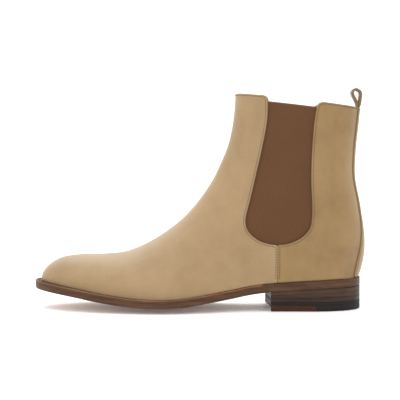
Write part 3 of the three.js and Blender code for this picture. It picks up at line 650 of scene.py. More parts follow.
# %% [markdown]
# ## Nubuck
# Nubuck is leather sanded on its outer side until it has a short, soft nap. It doesn't shine. Its
# colour moves in clouds where the nap lies one way or the other, with fine speckles from the pores, and
# a cut edge shows the darker, dyed middle of the hide. Sheen gives the velvet look at grazing angles.

# %% Nubuck
def nubuck_finish(name, light, middle, dark):
    f = Finish(name, roughness=0.56, specular=0.5, sheen=0.3)
    f.shader.inputs["Sheen Roughness"].default_value = 0.45
    f.shader.inputs["Sheen Tint"].default_value = srgb(246, 238, 226)
    clouds = f.noise(26, detail=4, rough=0.6)
    body = f.ramp(clouds, (0.3, dark), (0.48, middle), (0.72, light))
    brushed = f.noise(1.0, detail=3, where=f.stretch((120, 160, 55), (0.2, 0.5, 0.1)))
    body = f.mix(f.fade(brushed, 0.35, 0.75, 0.0, 0.35), body, light)
    speckle = f.noise(1500, detail=2, rough=0.7)
    body = f.mix(f.fade(speckle, 0.35, 0.62, 0.16, 0.0), body, dark, "MULTIPLY")
    edge = f.fade(f.number("edge"), 0.02, 0.3, 0.7, 0.0)
    f.colour(f.mix(edge, body, srgb(104, 74, 44)))
    nap = f.noise(2600, detail=3, rough=0.7)
    pores = f.noise(620, detail=2)
    return f.bump((pores, 0.12, 0.0003), (nap, 0.22, 0.00018))


nubuck = nubuck_finish("nubuck", srgb(153, 126, 88), srgb(144, 117, 79), srgb(135, 108, 71))
nubuck_rear = nubuck_finish("nubuck_rear", srgb(144, 115, 69), srgb(133, 103, 58), srgb(122, 92, 48))
nubuck_strip = nubuck_finish("nubuck_strip", srgb(150, 121, 78), srgb(138, 109, 67), srgb(124, 96, 56))
print("nubuck:", nubuck.name, nubuck_rear.name, nubuck_strip.name)

# %% [markdown]
# ## Lining leather
# The lining is thin, smooth calf or pigskin in a light tan, slightly shiny from pressing, with small
# pores in groups of three. A fine noise stands for the pores, and a broad one for the unevenness of a
# hide that has been pulled over a last.

# %% Lining leather
def lining_finish():
    f = Finish("lining_tan", roughness=0.55, specular=0.4)
    body = f.ramp(f.noise(40, detail=4), (0.3, srgb(150, 120, 84)), (0.7, srgb(176, 148, 110)))
    pores = f.noise(1800, detail=1)
    body = f.mix(f.fade(pores, 0.3, 0.4, 0.35, 0.0), body, srgb(120, 86, 56), "MULTIPLY")
    f.colour(body)
    f.roughness(f.fade(f.noise(300), 0.3, 0.7, 0.45, 0.65))
    return f.bump((pores, 0.15, 0.0002), (f.noise(90), 0.1, 0.0006))


lining_tan = lining_finish()
print("lining:", len(lining_tan.node_tree.nodes), "nodes")

# %% [markdown]
# ## Elastic webbing
# The side gores are woven from rubber threads wrapped in yarn. The wrapped threads run up and down and
# show as fine ribs, a little over a millimetre apart, and the crossing yarn shows as tiny steps on
# every rib. A wave along the width makes the ribs, a second wave along the height makes the steps.

# %% Elastic webbing
RIB_PITCH = 0.0011
STEP_PITCH = 0.0009


def elastic_finish():
    f = Finish("elastic_brown", roughness=0.82, specular=0.25, sheen=0.15)
    f.shader.inputs["Sheen Tint"].default_value = srgb(190, 140, 100)
    lean = f.stretch((1, 1, 1), (0, math.radians(6), 0))
    parts = f.node("ShaderNodeSeparateXYZ", Vector=lean).outputs
    wander = f.fade(f.noise(160, detail=1), 0.0, 1.0, -0.00012, 0.00012)
    across = f.math("ADD", parts[0], wander)
    rib = f.math("SINE", f.math("MULTIPLY", across, 2 * math.pi / RIB_PITCH))
    step = f.math("SINE", f.math("MULTIPLY", parts[2], 2 * math.pi / STEP_PITCH))
    height = f.math("ADD", rib, f.math("MULTIPLY", step, 0.35))
    # Colour follows the ribs' height: painted shade in the grooves, painted highlight on the crests.
    body = f.ramp(f.fade(height, -1.3, 1.3), (0.0, srgb(78, 50, 28)), (0.5, srgb(89, 58, 33)),
                  (1.0, srgb(99, 66, 38)))
    body = f.mix(f.fade(f.noise(55, detail=3), 0.3, 0.7, 0.0, 0.25), body, srgb(76, 48, 28))
    selvedge = f.fade(f.number("edge"), 0.9, 1.1, 0.85, 0.0)
    f.colour(f.mix(selvedge, body, srgb(118, 76, 44)))
    return f.bump((height, 0.5, 0.00022), (f.noise(2400, detail=2), 0.15, 0.0001))


elastic_brown = elastic_finish()
print("elastic:", len(elastic_brown.node_tree.nodes), "nodes")

# %% [markdown]
# ## The gore opening
# Seen from the side, the edge of the gore opening is a long U. The vamp lies in front of it and below,
# the quarter behind it, and a short seam joins them from the bottom of the U down to the sole. The same
# outlines serve both sides of the boot and the lining. A few points and a smooth line give the U.

# %% The gore opening
FAR = 400.0
SHAFT_TOP = 199.3
SEAM_X = 71.0
SEAM_GAP = 0.12  # half the gap between vamp and quarter at the side seam
FRONT_CORNER = 190.6  # height at which the vamp's top corner starts to turn
REAR_CORNER = 185.5  # the same on the quarter
GORE_EDGE = smooth_line([
    (61.6, 206), (61.6, 192), (61.4, 178.5), (59.6, 165), (56, 147), (51.3, 126), (46.4, 105),
    (42.1, 88), (41.5, 80), (44.6, 72.5), (52.5, 65.6), (62, 62), (71.5, 61), (81.5, 62.3), (92, 67),
    (99.4, 74.5), (102, 84), (102.2, 100), (101.4, 122), (102.3, 147), (103.9, 169.5), (106.3, 187),
    (107.6, 206),
], 8)


def corner(a, towards, b):
    """A rounded corner from a to b, in eight steps."""
    a, towards, b = map(np.array, (a, towards, b))
    t = np.linspace(0, 1, 9)[:, None]
    return (1 - t) ** 2 * a + 2 * t * (1 - t) * towards + t**2 * b


lowest = int(GORE_EDGE[:, 1].argmin())
opening_foot = GORE_EDGE[lowest, 1]
front_edge = GORE_EDGE[: lowest + 1]
front_edge = front_edge[(front_edge[:, 1] < FRONT_CORNER) & (front_edge[:, 0] < SEAM_X - 0.5)]
rear_edge = GORE_EDGE[lowest:]
rear_edge = rear_edge[(rear_edge[:, 1] < REAR_CORNER) & (rear_edge[:, 0] > SEAM_X + 0.5)]
print("gore opening:", len(front_edge), "points in front,", len(rear_edge), "behind")

# %% [markdown]
# ## Vamp and quarter patterns
# The top line drops from the front of the shaft to the back. On both pieces it turns down into the gore
# opening with a rounded corner. The outlines run far past the boot on the other sides, where the skin
# itself ends.

# %% Vamp and quarter patterns
VAMP_TOP = (55, 197.6)  # where the vamp's top line meets its rounded corner, as x and z
VAMP_PEAK_X = 36.7
REAR_PEAK = (113.5, 190.9)  # where the quarter's rounded corner meets its top line
REAR_END = (150, 186.2)  # the back end of the top line
front_pattern = np.vstack([
    [(-FAR, SHAFT_TOP), (-FAR, -FAR), (SEAM_X - SEAM_GAP, -FAR), (SEAM_X - SEAM_GAP, opening_foot)],
    front_edge[::-1],
    corner((front_edge[0, 0], FRONT_CORNER), (front_edge[0, 0], VAMP_TOP[1]), VAMP_TOP),
    [(VAMP_PEAK_X, SHAFT_TOP)],
])


def rear_pattern(softer):
    """The quarter's outline. A larger number cuts the corner of its top line rounder."""
    edge = rear_edge[rear_edge[:, 1] < REAR_CORNER - softer]
    x = edge[-1, 0]
    peak = REAR_PEAK[1] - softer * (REAR_PEAK[1] - REAR_END[1]) / (REAR_END[0] - REAR_PEAK[0])
    return np.vstack([
        [(SEAM_X + SEAM_GAP, opening_foot)],
        edge,
        corner((x + 0.3, REAR_CORNER - softer), (x + 1.2, peak), (REAR_PEAK[0] + softer, peak)),
        [REAR_END, (FAR, 184.2), (FAR, -FAR), (SEAM_X + SEAM_GAP, -FAR)],
    ])


SIDES = {"lateral": -1, "medial": 1}
INNER_SOFTER = 5
rear_patterns = {"lateral": rear_pattern(0), "medial": rear_pattern(INNER_SOFTER)}
print("vamp pattern:", len(front_pattern), "points; quarter:", len(rear_patterns["lateral"]))

# %% [markdown]
# ## Gore pattern
# The webbing is cut larger than the opening, because it is sewn in under the leather. Its pattern is
# the same U, moved outward by that margin, with a straight slanting top that leaves the corners of the
# leather standing a little higher.

# %% Gore pattern
GORE_TUCK = 8
GORE_TOP = ((50, 193.2), (118, 185.2))  # two points of the gore's straight top, as x and z


def shift_line(line, distance):
    """An open line moved to its right by a distance."""
    along = np.gradient(line, axis=0)
    side = np.c_[along[:, 1], -along[:, 0]] / np.linalg.norm(along, axis=1)[:, None]
    return line + side * distance


def gore_pattern(tuck):
    """The gore with the margin that lies under the leather, cut straight along its top."""
    line = shift_line(GORE_EDGE, tuck)
    (x0, z0), (x1, z1) = GORE_TOP
    slope = (z1 - z0) / (x1 - x0)
    line = line[line[:, 1] < z0 + slope * (line[:, 0] - x0)]
    end = [(x, z0 + slope * (x - x0)) for x in (line[0, 0], line[-1, 0])]
    return np.vstack([[end[0]], line, [end[1]]])


print("gore pattern:", len(gore_pattern(GORE_TUCK)), "points")

# %% [markdown]
# ## Pieces of the skin
# A pattern piece is the skin inside an outline and above the seat. The back strip and the quarters need
# one side only, so a third cut runs along the middle. The rows near the edge are where the leather
# rounds off and where the stitches draw it in.

# %% Pieces of the skin
side_view = skin["co"][:, [0, 2]]
above_seat = skin["co"][:, 2] - seat(skin["co"][:, 0]) + hang(skin["co"][:, 0], skin["co"][:, 1])
SEAT_GAP = 0.1
MIDDLE_GAP = 0.08
GROUND_ROWS = (0.4, 1.2)


def pattern_piece(outline, points=side_view, side=0, rows=()):
    """The part of the skin inside an outline, above the seat and, for side -1 or 1, on that side."""
    sheet = {**skin, "edge": distance_in(points, outline), "ground": above_seat - SEAT_GAP}
    if side:
        sheet["back"] = skin["co"][:, 1] * side - MIDDLE_GAP
        sheet = keep(sheet, "back")
    sheet = keep(keep(sheet, "edge"), "ground")
    for key, levels in (("edge", rows), ("ground", GROUND_ROWS if rows else ())):
        for level in levels:
            sheet = cut(sheet, key, level)
    return sheet


print("highest point above the seat:", round(float(above_seat.max()), 1), "mm")

# %% [markdown]
# ## Worked edges
# An edge that is only cut looks like cardboard. Real leather is skived, turned and hammered, so it
# rounds off over the last half millimetre, and its stitches pull a shallow groove into it. Where it
# meets the sole it tucks in under itself. All three are depths that depend on a distance.

# %% Worked edges
STITCH_LINE = 1.6
EDGE_ROWS = (0.15, 0.35, 0.7, 1.2, STITCH_LINE, 2.0)
EDGE_RADIUS = 0.6
GROOVE_DEPTH, GROOVE_WIDTH = 0.06, 0.35
SEAT_ROUNDING, SEAT_TUCK = 1.1, 0.8


def worked_surface(sheet, depth=0.0):
    """Outer depth of a leather piece: rounded at its edges, drawn in along its stitching."""
    groove = GROOVE_DEPTH * np.exp(-(((sheet["edge"] - STITCH_LINE) / GROOVE_WIDTH) ** 2))
    tucked = rounded(sheet["ground"], SEAT_ROUNDING) * SEAT_TUCK
    return depth - rounded(sheet["edge"], EDGE_RADIUS) - tucked - groove


print("stitches run", STITCH_LINE, "mm from the edges; rows at", EDGE_ROWS)

# %% [markdown]
# ## Vamp and quarters
# The vamp of this boot is one piece that covers the toe, the instep and the front of the shaft. Two
# quarters cover the heel and the back of the shaft. All three are nearly two millimetres thick.

# %% Vamp and quarters
UPPER_INNER = -1.75
vamp_sheet = pattern_piece(front_pattern, rows=EDGE_ROWS)
vamp = leather("vamp_leather", vamp_sheet, worked_surface(vamp_sheet), UPPER_INNER, nubuck)
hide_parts("vamp")
quarter_sheets = {}
for word, side in SIDES.items():
    sheet = pattern_piece(rear_patterns[word], side=side, rows=EDGE_ROWS)
    quarter_sheets[word] = sheet
    quarter = leather(f"quarter_leather_{word}", sheet, worked_surface(sheet), UPPER_INNER, nubuck_rear)
    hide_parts(f"quarter_{word}")

# %% [markdown]
# ## Gores
# Each gore is a flat piece of webbing that lies under the leather and reaches eight millimetres past
# the edge of the opening, where it is sewn. It sits lower than the leather, so the leather's edge
# throws a thin shadow on it.

# %% Gores
GORE_OUTER, GORE_INNER = -2.05, -3.3
for word, side in SIDES.items():
    sheet = pattern_piece(gore_pattern(GORE_TUCK), side=side, rows=(0.3, 1.0))
    outer = GORE_OUTER - rounded(sheet["edge"], 0.4)
    gore = leather(f"gore_webbing_{word}", sheet, outer, GORE_INNER, elastic_brown)
    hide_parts(f"gore_{word}")

# %% [markdown]
# ## Linings
# The lining follows the outer leather at its own depth and has the same openings for the gores. Along
# the top line it closes up to the leather, as it does where the two are sewn together. It stays at its
# depth beside the gores, which lie between the two, and at the back, where the loop's legs do.

# %% Linings
LINING_OUTER = -3.6
LINING_RISE = 1.7
RISE_HEIGHT = 9
REAR_TOP = 191.5
LINING_THICK = 1
GORE_SPAN = (47, 121)  # the lining doesn't rise between these
LOOP_SIDE = 7.5  # nor within this of the middle at the back


def lining_depth(sheet):
    """Outer depth of the lining: it rises to the leather along the top line."""
    x, y, z = sheet["co"].T
    below_top = np.where(x < 85, SHAFT_TOP - z, REAR_TOP - z)
    rise = np.clip(1 - below_top / RISE_HEIGHT, 0, 1) ** 1.5
    rise *= np.where(x > 120, np.clip((np.abs(y) - LOOP_SIDE) / 3, 0, 1), 1)
    rise *= 1 - np.clip((x - GORE_SPAN[0]) / 6, 0, 1) * np.clip((GORE_SPAN[1] - x) / 6, 0, 1)
    return LINING_OUTER + LINING_RISE * rise


for word, outline, side in (
    ("vamp_lining", front_pattern, 0),
    ("quarter_lining_lateral", rear_patterns["lateral"], -1),
    ("quarter_lining_medial", rear_patterns["medial"], 1),
):
    sheet = pattern_piece(outline, side=side, rows=(0.3,))
    outer = lining_depth(sheet)
    lining = leather(f"{word}_leather", sheet, outer, outer - LINING_THICK, lining_tan)
    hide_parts(word)

# %% [markdown]
# ## Stiffeners
# The toe puff and the heel counter hide between leather and lining; they are why a boot keeps its shape.
# They are cut from leather board, pressed fibres with a rough, pale face. Both are parts of the skin at
# the depth between the two layers.

# %% Stiffeners
STIFFENER_OUTER, STIFFENER_INNER = -2.1, -3.3


def board_finish():
    f = Finish("leather_board", roughness=0.9, specular=0.2)
    fibre = f.noise(1.0, detail=4, where=f.stretch((900, 900, 300)))
    f.colour(f.ramp(fibre, (0.3, srgb(168, 140, 104)), (0.7, srgb(208, 184, 146))))
    return f.bump((fibre, 0.3, 0.0002))


leather_board = board_finish()
stiffener_edges = {
    "toe_puff": [(-FAR, 60), (-FAR, -FAR), (-118, -FAR), (-104, 20), (-104, 60)],
    "heel_counter": [(88, -40), (90, 44), (112, 49), (121, 66), (134, 80), (170, 84), (170, -40)],
}
for word, outline in stiffener_edges.items():
    sheet = pattern_piece(outline)
    stiffener = leather(f"{word}_board", sheet, STIFFENER_OUTER, STIFFENER_INNER, leather_board)
    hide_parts(word)

# %% [markdown]
# ## Back strip
# A strip covers the seam where the two quarters meet at the back. Its outline is drawn as seen from
# behind: narrow along the shaft, wider at the heel. It lies on top of the quarters.

# %% Back strip
STRIP_OUTER, STRIP_INNER = 1.35, 0.1
STRIP_SIDE = np.array([(13.5, 20), (13.3, 35), (11.2, 62), (8.4, 95), (8, 120), (8, REAR_END[1])])
strip_outline = np.vstack([
    [(-13.5, 0), (13.5, 0)],
    smooth_line(STRIP_SIDE, 6),
    smooth_line(STRIP_SIDE[::-1] * (-1, 1), 6),
])
behind = np.where(skin["co"][:, [0]] > 110, skin["co"][:, [1, 2]], [[FAR, 0]])
strip_sheet = pattern_piece(strip_outline, points=behind, rows=EDGE_ROWS)
strip_surface = worked_surface(strip_sheet, STRIP_OUTER)
strip = leather("back_strip_leather", strip_sheet, strip_surface, STRIP_INNER, nubuck_strip)
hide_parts("back_strip")

# %% [markdown]
# ## Stitch lines
# A row of stitches follows the edge of a piece at a constant distance. The cut sheets already hold that
# line: the points where the distance from the edge is exactly the stitch line. Chaining them gives the
# path. Down at the seat there is no row, since the welt covers that edge.

# %% Stitch lines
SEAT_CLEAR = 2.5


def stitch_lines(sheet):
    """Lines along which a sheet is stitched, as (points, normals)."""
    tri, f = sheet["tri"], sheet["edge"]
    e = np.unique(np.sort(np.vstack([tri[:, [0, 1]], tri[:, [1, 2]], tri[:, [2, 0]]]), axis=1), axis=0)
    on = (np.abs(f[e] - STITCH_LINE) < 1e-5).all(1) & (sheet["ground"][e] > SEAT_CLEAR).all(1)
    beside = {}
    for a, b in e[on].tolist():
        beside.setdefault(a, []).append(b)
        beside.setdefault(b, []).append(a)
    lines = []
    left = set(beside)
    while left:
        start = next((p for p in sorted(left) if len(beside[p]) == 1), None) or min(left)
        line = [start]
        left.discard(start)
        while True:
            step = [p for p in beside[line[-1]] if p in left]
            if not step:
                break
            line.append(step[0])
            left.discard(step[0])
        if len(line) > 4:
            lines.append((sheet["co"][line], sheet["no"][line]))
    return lines


vamp_lines = stitch_lines(vamp_sheet)
print("stitch lines on the vamp:", len(vamp_lines))

# %% [markdown]
# ## Stitches
# Short lengths of thread are set along the lines. Each is a little tube, thickest in its middle, arched
# between its two holes and sunk at both ends. Every stitch is the same shape, turned to its own
# direction and the leather's normal, and a whole row is one mesh.

# %% Stitches
def spaced(points, normals, pitch):
    """Places along a line, a pitch apart: points, directions and normals."""
    run = np.r_[0, np.cumsum(np.linalg.norm(np.diff(points, axis=0), axis=1))]
    marks = np.arange(pitch / 2, run[-1], pitch)
    at = lambda m, values: np.stack([np.interp(m, run, values[:, k]) for k in range(3)], -1)
    ahead = at(marks + pitch / 3, points) - at(marks - pitch / 3, points)
    unit = lambda a: a / (np.linalg.norm(a, axis=1)[:, None] + 1e-12)
    return at(marks, points), unit(ahead), unit(at(marks, normals))


def tube_faces(rings, around):
    """Faces of a tube of rings with closed ends."""
    faces = [
        (i * around + j, i * around + k, (i + 1) * around + k, (i + 1) * around + j)
        for i in range(rings - 1) for j, k in zip(range(around), [*range(1, around), 0])
    ]
    return [*faces, tuple(range(around))[::-1], tuple((rings - 1) * around + j for j in range(around))]


def thread_row(name, lines, paint, lift, pitch=2.4, length=1.35, width=0.85, arch=0.16):
    """Stitches along lines, all in one mesh. lift is the height of the surface above the skin."""
    steps, around = 6, 8
    u = np.linspace(-1, 1, steps + 1)
    a = np.arange(around) * 2 * math.pi / around
    thick = width / 2 * np.sqrt(np.clip(1 - 0.9 * u**4, 0.05, 1))
    shape = np.stack([
        np.broadcast_to(u[:, None] * length / 2, (steps + 1, around)),
        thick[:, None] * np.cos(a)[None],
        thick[:, None] * np.sin(a)[None] * 0.8 + (arch * (1 - 2 * u**2))[:, None],
    ], -1).reshape(-1, 3)
    quads = tube_faces(steps + 1, around)
    co, faces = [], []
    for points, normals in lines:
        for p, t, n in zip(*spaced(points, normals, pitch)):
            side = np.cross(n, t)
            base = sum(map(len, co))
            co.append(p + n * lift + shape[:, :1] * t + shape[:, 1:2] * side + shape[:, 2:] * n)
            faces += [tuple(base + k for k in q) for q in quads]
    put_in_scene(name, np.vstack(co), faces, paint, sharp=60)
    print(name, len(co), "stitches")


# %% [markdown]
# ## Thread
# The thread is twisted and waxed. A fine noise, bumped and in two close browns, reads as the twist. The
# upper's thread is a dark tan, and the welt's is thicker and darker.

# %% Thread
def thread_finish(name, light, dark):
    f = Finish(name, roughness=0.6, specular=0.35, sheen=0.2)
    ply = f.noise(1.0, detail=2, where=f.stretch((2500, 2500, 2500)))
    f.colour(f.ramp(ply, (0.3, dark), (0.7, light)))
    return f.bump((ply, 0.4, 0.00015))


tan_thread = thread_finish("tan_thread", srgb(54, 35, 18), srgb(33, 20, 10))
dark_thread = thread_finish("dark_thread", srgb(70, 48, 34), srgb(44, 30, 22))
print("threads:", tan_thread.name, dark_thread.name)

# %% [markdown]
# ## Stitching of the upper
# Vamp, quarters and back strip each carry one row along their edges. The thread is drawn into the
# leather, so its row lies a tenth of a millimetre under the surface, and only the arch of each stitch
# stands out of it.

# %% Stitching of the upper
THREAD_SINK = 0.1
STRIP_THREAD_LIFT = 1.26
for word, lines, lift in (
    ("vamp", vamp_lines, -THREAD_SINK),
    ("quarter_lateral", stitch_lines(quarter_sheets["lateral"]), -THREAD_SINK),
    ("quarter_medial", stitch_lines(quarter_sheets["medial"]), -THREAD_SINK),
    ("back_strip", stitch_lines(strip_sheet), STRIP_THREAD_LIFT),
):
    thread_row(f"stitches_{word}", lines, tan_thread, lift)

# %% [markdown]
# ## Pull loop
# The loop is one strip of the same leather, folded so that its two legs lie against each other at the
# root and open into a teardrop above. Below the top line the legs are shaved thin and sewn between the
# leather and the lining. A strip is easy to sweep: at each point of its middle line stands the same
# rounded section, thinner where the leather was shaved. Below the hinge the strip runs down the back of
# the boot, and above it the line turns into the loop.

# %% Pull loop
EYE_HALF = 3.9  # half the eye's width, to the middle of the strip
LOOP_LEAN = 2.9  # how far the eye leans inward at its top
LOOP_WIDTH = 13.0
LOOP_RISE = np.array([
    (-0.46, -9), (-0.48, -4), (-0.56, -2.2), (-0.98, -0.6), (-1.3, 1.4), (-1.85, 3.7),
    (-EYE_HALF * 0.72, 6.8), (-EYE_HALF * 0.96, 9.8), (-EYE_HALF * 0.83, 12.7), (0, 14.65),
])
THICK_HEIGHTS, THICKNESSES = (-6, -2, -0.7, 1.2, 3, 20), (0.8, 0.85, 1.7, 2.2, 2.5, 2.5)


def loop_line():
    """Middle of the strip from one end over the top to the other, as x and z from the hinge."""
    fall = LOOP_RISE[-2::-1] * (-1, 1)
    line = np.vstack([LOOP_RISE, fall])
    line[:, 0] -= LOOP_LEAN * np.maximum(line[:, 1] - 2.2, 0) / 15.2
    return smooth_line(line, 7)


def sweep_strip(line, thickness, width):
    """Points and faces of a strip with rounded edges along a line in x and z."""
    along = np.gradient(line, axis=0)
    out = np.c_[-along[:, 1], along[:, 0]] / np.linalg.norm(along, axis=1)[:, None]
    angle = np.linspace(0, 2 * math.pi, 28, endpoint=False)
    power = lambda v, e: np.sign(v) * np.abs(v) ** e
    section = np.c_[power(np.cos(angle), 0.18) * width / 2, power(np.sin(angle), 0.75) / 2]
    co = [
        (LOOP_HINGE[0] + p[0] + n[0] * s * h, y, LOOP_HINGE[1] + p[1] + n[1] * s * h)
        for p, n, h in zip(line, out, thickness) for y, s in section
    ]
    return co, tube_faces(len(line), len(section))


loop_middle = loop_line()
loop_thick = np.interp(loop_middle[:, 1], THICK_HEIGHTS, THICKNESSES)
loop_co, loop_faces = sweep_strip(loop_middle, loop_thick, LOOP_WIDTH)
loop = put_in_scene("pull_loop_leather", loop_co, loop_faces, nubuck_strip, body=None, sharp=60)
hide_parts("pull_loop")
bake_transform(loop)
print("loop strip:", len(loop_co), "points")

# %% [markdown]
# ## Leather edges
# The edges of sole, welt and heel are ground smooth, dyed dark brown and burnished with wax, so they
# shine a little. The dye takes unevenly along the fibres, which lie flat in the sheet: long thin
# streaks, stretched along the edge and squeezed across it.

# %% Leather edges
EDGE_ROUGHNESS = 0.45


def edge_finish(name, light, middle, dark):
    f = Finish(name, roughness=EDGE_ROUGHNESS, specular=0.2)
    fibre = f.noise(1.0, detail=4, rough=0.65, where=f.stretch((90, 90, 2600)))
    broad = f.noise(1.0, detail=3, where=f.stretch((28, 28, 220)))
    body = f.ramp(broad, (0.3, dark), (0.5, middle), (0.72, light))
    body = f.mix(f.fade(fibre, 0.35, 0.6, 0.45, 0.0), body, dark, "MULTIPLY")
    f.colour(body)
    f.roughness(f.fade(fibre, 0.3, 0.7, EDGE_ROUGHNESS + 0.15, EDGE_ROUGHNESS - 0.08))
    return f.bump((fibre, 0.25, 0.00012), (f.noise(700), 0.08, 0.0002))


# Each edge is given as its name, and its lightest, middle and darkest brown.
sole_edge = edge_finish("sole_edge", srgb(95, 66, 44), srgb(82, 54, 35), srgb(68, 44, 28))
# The welt's top is painted lighter than its edge: a painted highlight on the face turned to the light.
welt_top_painted_highlight = edge_finish("welt_top_painted_highlight", srgb(140, 96, 62), srgb(126, 83, 51), srgb(104, 67, 40))
lift_paints = [
    edge_finish("lift_brown_1", srgb(84, 59, 43), srgb(70, 48, 35), srgb(56, 38, 28)),
    edge_finish("lift_brown_2", srgb(72, 50, 37), srgb(58, 39, 29), srgb(46, 31, 23)),
    edge_finish("lift_brown_3", srgb(72, 48, 35), srgb(57, 38, 28), srgb(45, 29, 21)),
]
insert_brown = edge_finish("insert_brown", srgb(70, 37, 18), srgb(56, 29, 14), srgb(43, 22, 11))
print("edges:", 3 + len(lift_paints), "browns")

# %% [markdown]
# ## Underside and rubber
# The face of the sole that meets the ground isn't dyed: it is smooth, tanned leather, lightly scuffed
# along the foot. The rubber is nearly black with a fine, even grain that scatters the light.

# %% Underside and rubber
def underside_finish():
    f = Finish("sole_underside", roughness=0.5, specular=0.35)
    clouds = f.noise(22, detail=4)
    body = f.ramp(clouds, (0.3, srgb(148, 108, 72)), (0.7, srgb(176, 134, 94)))
    scuffs = f.noise(1.0, detail=5, rough=0.75, where=f.stretch((60, 700, 60), (0, 0, 0.25)))
    body = f.mix(f.fade(scuffs, 0.56, 0.7, 0.0, 0.45), body, srgb(112, 78, 52))
    f.colour(body)
    f.roughness(f.fade(scuffs, 0.4, 0.7, 0.42, 0.7))
    return f.bump((scuffs, 0.12, 0.0003), (f.noise(1300), 0.1, 0.00015))


def rubber_finish():
    f = Finish("top_piece_rubber_black", roughness=0.62, specular=0.2)
    grain = f.noise(1600, detail=3)
    f.colour(f.mix(f.fade(f.noise(60, detail=3), 0.3, 0.7), srgb(22, 18, 16), srgb(31, 26, 23)))
    f.roughness(f.fade(grain, 0.3, 0.7, 0.55, 0.72))
    return f.bump((grain, 0.25, 0.00015))


sole_underside = underside_finish()
rubber_black = rubber_finish()
print("underside and rubber:", sole_underside.name, rubber_black.name)

# %% [markdown]
# ## Plates of the bottom
# Outsole, welt, rand and lifts are all cut from flat leather and follow the same outline. Each is made
# from rings: the outline, moved in by a little or a lot, at a height between the plate's two faces.
# Moving a ring in needs its outward directions, and a height is a small function of x and y.

# %% Rings and heights
def counterclockwise(ring):
    """The ring with its points in counterclockwise order, seen from above."""
    x, y = np.asarray(ring, float).T
    area = (x * np.roll(y, -1) - y * np.roll(x, -1)).sum()
    return np.c_[x, y] if area > 0 else np.c_[x, y][::-1]


def outward(ring):
    """Directions that point out of a counterclockwise ring."""
    along = np.roll(ring, -1, axis=0) - np.roll(ring, 1, axis=0)
    return np.c_[along[:, 1], -along[:, 0]] / (np.linalg.norm(along, axis=1)[:, None] + 1e-12)


def under_seat(depth):
    """Height of a face that follows the bottom of the foot at a depth."""
    return lambda x, y: seat(x) - hang(x, y) - depth


def flat_face(z):
    """Height of a level face."""
    return lambda x, y: np.full(len(x), float(z))


print("bottom under the ball:", under_seat(0)(np.array([BALL]), np.zeros(1)).round(2), "mm")

# %% [markdown]
# ## Building a plate
# The first rings shape the plate's edge, and the rest close over its two faces in steps towards the
# foot's middle line. Closing towards a line, not a point, keeps the faces long and even. The underside
# may carry a finish of its own.

# %% Building a plate
TOE_ROOM, HEEL_ROOM = 22, 18  # how far the line that the rings close towards stays from both ends


def plate(name, ring, profile, high, low, paints, caps=()):
    """A closed plate. Profile holds (inset, share of the way down), and high and low give the heights of
    its two faces. Paints holds the finish of the edge and, if it differs, that of the underside."""
    ring = counterclockwise(ring)
    out, n = outward(ring), len(ring)
    spine = np.clip(ring[:, 0], ring[:, 0].min() + TOE_ROOM, ring[:, 0].max() - HEEL_ROOM)
    middle = np.c_[spine, np.zeros(n)]
    middle[:, 1] = (y_on(ring, middle[:, 0], 1) + y_on(ring, middle[:, 0], -1)) / 2
    towards = lambda xy, share: xy + (middle - xy) * share
    rings = [(towards(ring - out * profile[0][0], c), 0.0) for c in caps[::-1]]
    rings += [(ring - out * inset, share) for inset, share in profile]
    rings += [(towards(ring - out * profile[-1][0], c), 1.0) for c in caps]
    co = [np.c_[xy, high(*xy.T) * (1 - share) + low(*xy.T) * share] for xy, share in rings]
    faces, below = [tuple(range(n))], [0]
    for k in range(len(rings) - 1):
        a = k * n + np.arange(n)
        b = k * n + (np.arange(n) + 1) % n
        faces += np.c_[a, a + n, b + n, b].tolist()
        below += [int(k >= len(caps) + len(profile) - 1)] * n
    faces.append(tuple((len(rings) - 1) * n + np.arange(n)[::-1]))
    below.append(1)
    piece = put_in_scene(name, np.vstack(co), faces, paints[0])
    if len(paints) > 1 and len(piece.data.polygons) == len(below):
        piece.data.materials.append(paints[1])
        piece.data.polygons.foreach_set("material_index", below)
    print(name, len(faces), "faces")
    return piece


# %% [markdown]
# ## Outsole
# A single sheet of sole leather, nearly five millimetres thick. Its bottom edge is rounded and carries a
# fine line from the edge iron. A real sole hides its stitches in a closed channel on the underside, so
# nothing of them shows there and none are made.

# %% Outsole
EDGE_IRON = [
    (0.3, 0.0), (0.04, 0.012), (0.0, 0.05), (0.0, 0.3), (0.0, 0.62), (0.06, 0.78), (0.2, 0.83),
    (0.05, 0.87), (0.14, 0.93), (0.55, 0.985), (1.2, 1.0),
]
INNER_RINGS = (0.1, 0.3, 0.55, 0.8, 0.96)
RING_STEP = 1.3
WELT_THICK = 2.9
OUTSOLE_BOTTOM = 7.8
outsole = plate(
    "outsole_leather", ring_at(sole_margin, RING_STEP), EDGE_IRON, under_seat(WELT_THICK + 0.04),
    under_seat(OUTSOLE_BOTTOM), [sole_edge, sole_underside], INNER_RINGS,
)
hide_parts("outsole")

# %% [markdown]
# ## Sock lining
# A thin leather lies on the insole, where the foot stands. It is cut smaller than the feather edge, and
# smaller still round the toe, where the linings fold in. It is a plate like the outsole, above the seat.

# %% Sock lining
SOCK_INSET, TOE_INSET = 5.4, 2.6
SOCK_TOP, SOCK_BOTTOM = 4.4, 3.4
sock_margin = -SOCK_INSET - TOE_INSET * np.clip((-100 - feather[:, 0]) / 45, 0, 1)
sock = plate(
    "sock_lining_leather", ring_at(sock_margin, 2.0), [(0.3, 0), (0, 0.4), (0, 1)],
    under_seat(-SOCK_TOP), under_seat(-SOCK_BOTTOM), [lining_tan], INNER_RINGS,
)
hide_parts("sock_lining")

# %% [markdown]
# ## Welt and heel rand
# The welt is a strip of leather sewn round the forepart. It stands out past the upper, and its top is
# painted a lighter tan, a painted highlight where it faces the light. From the waist back, a rand of the
# same thickness carries the edge round the heel. Both are one section swept along the sole's ring.

# %% Welt and heel rand
SPLIT = BREAST - 8  # where the welt ends and the rand begins


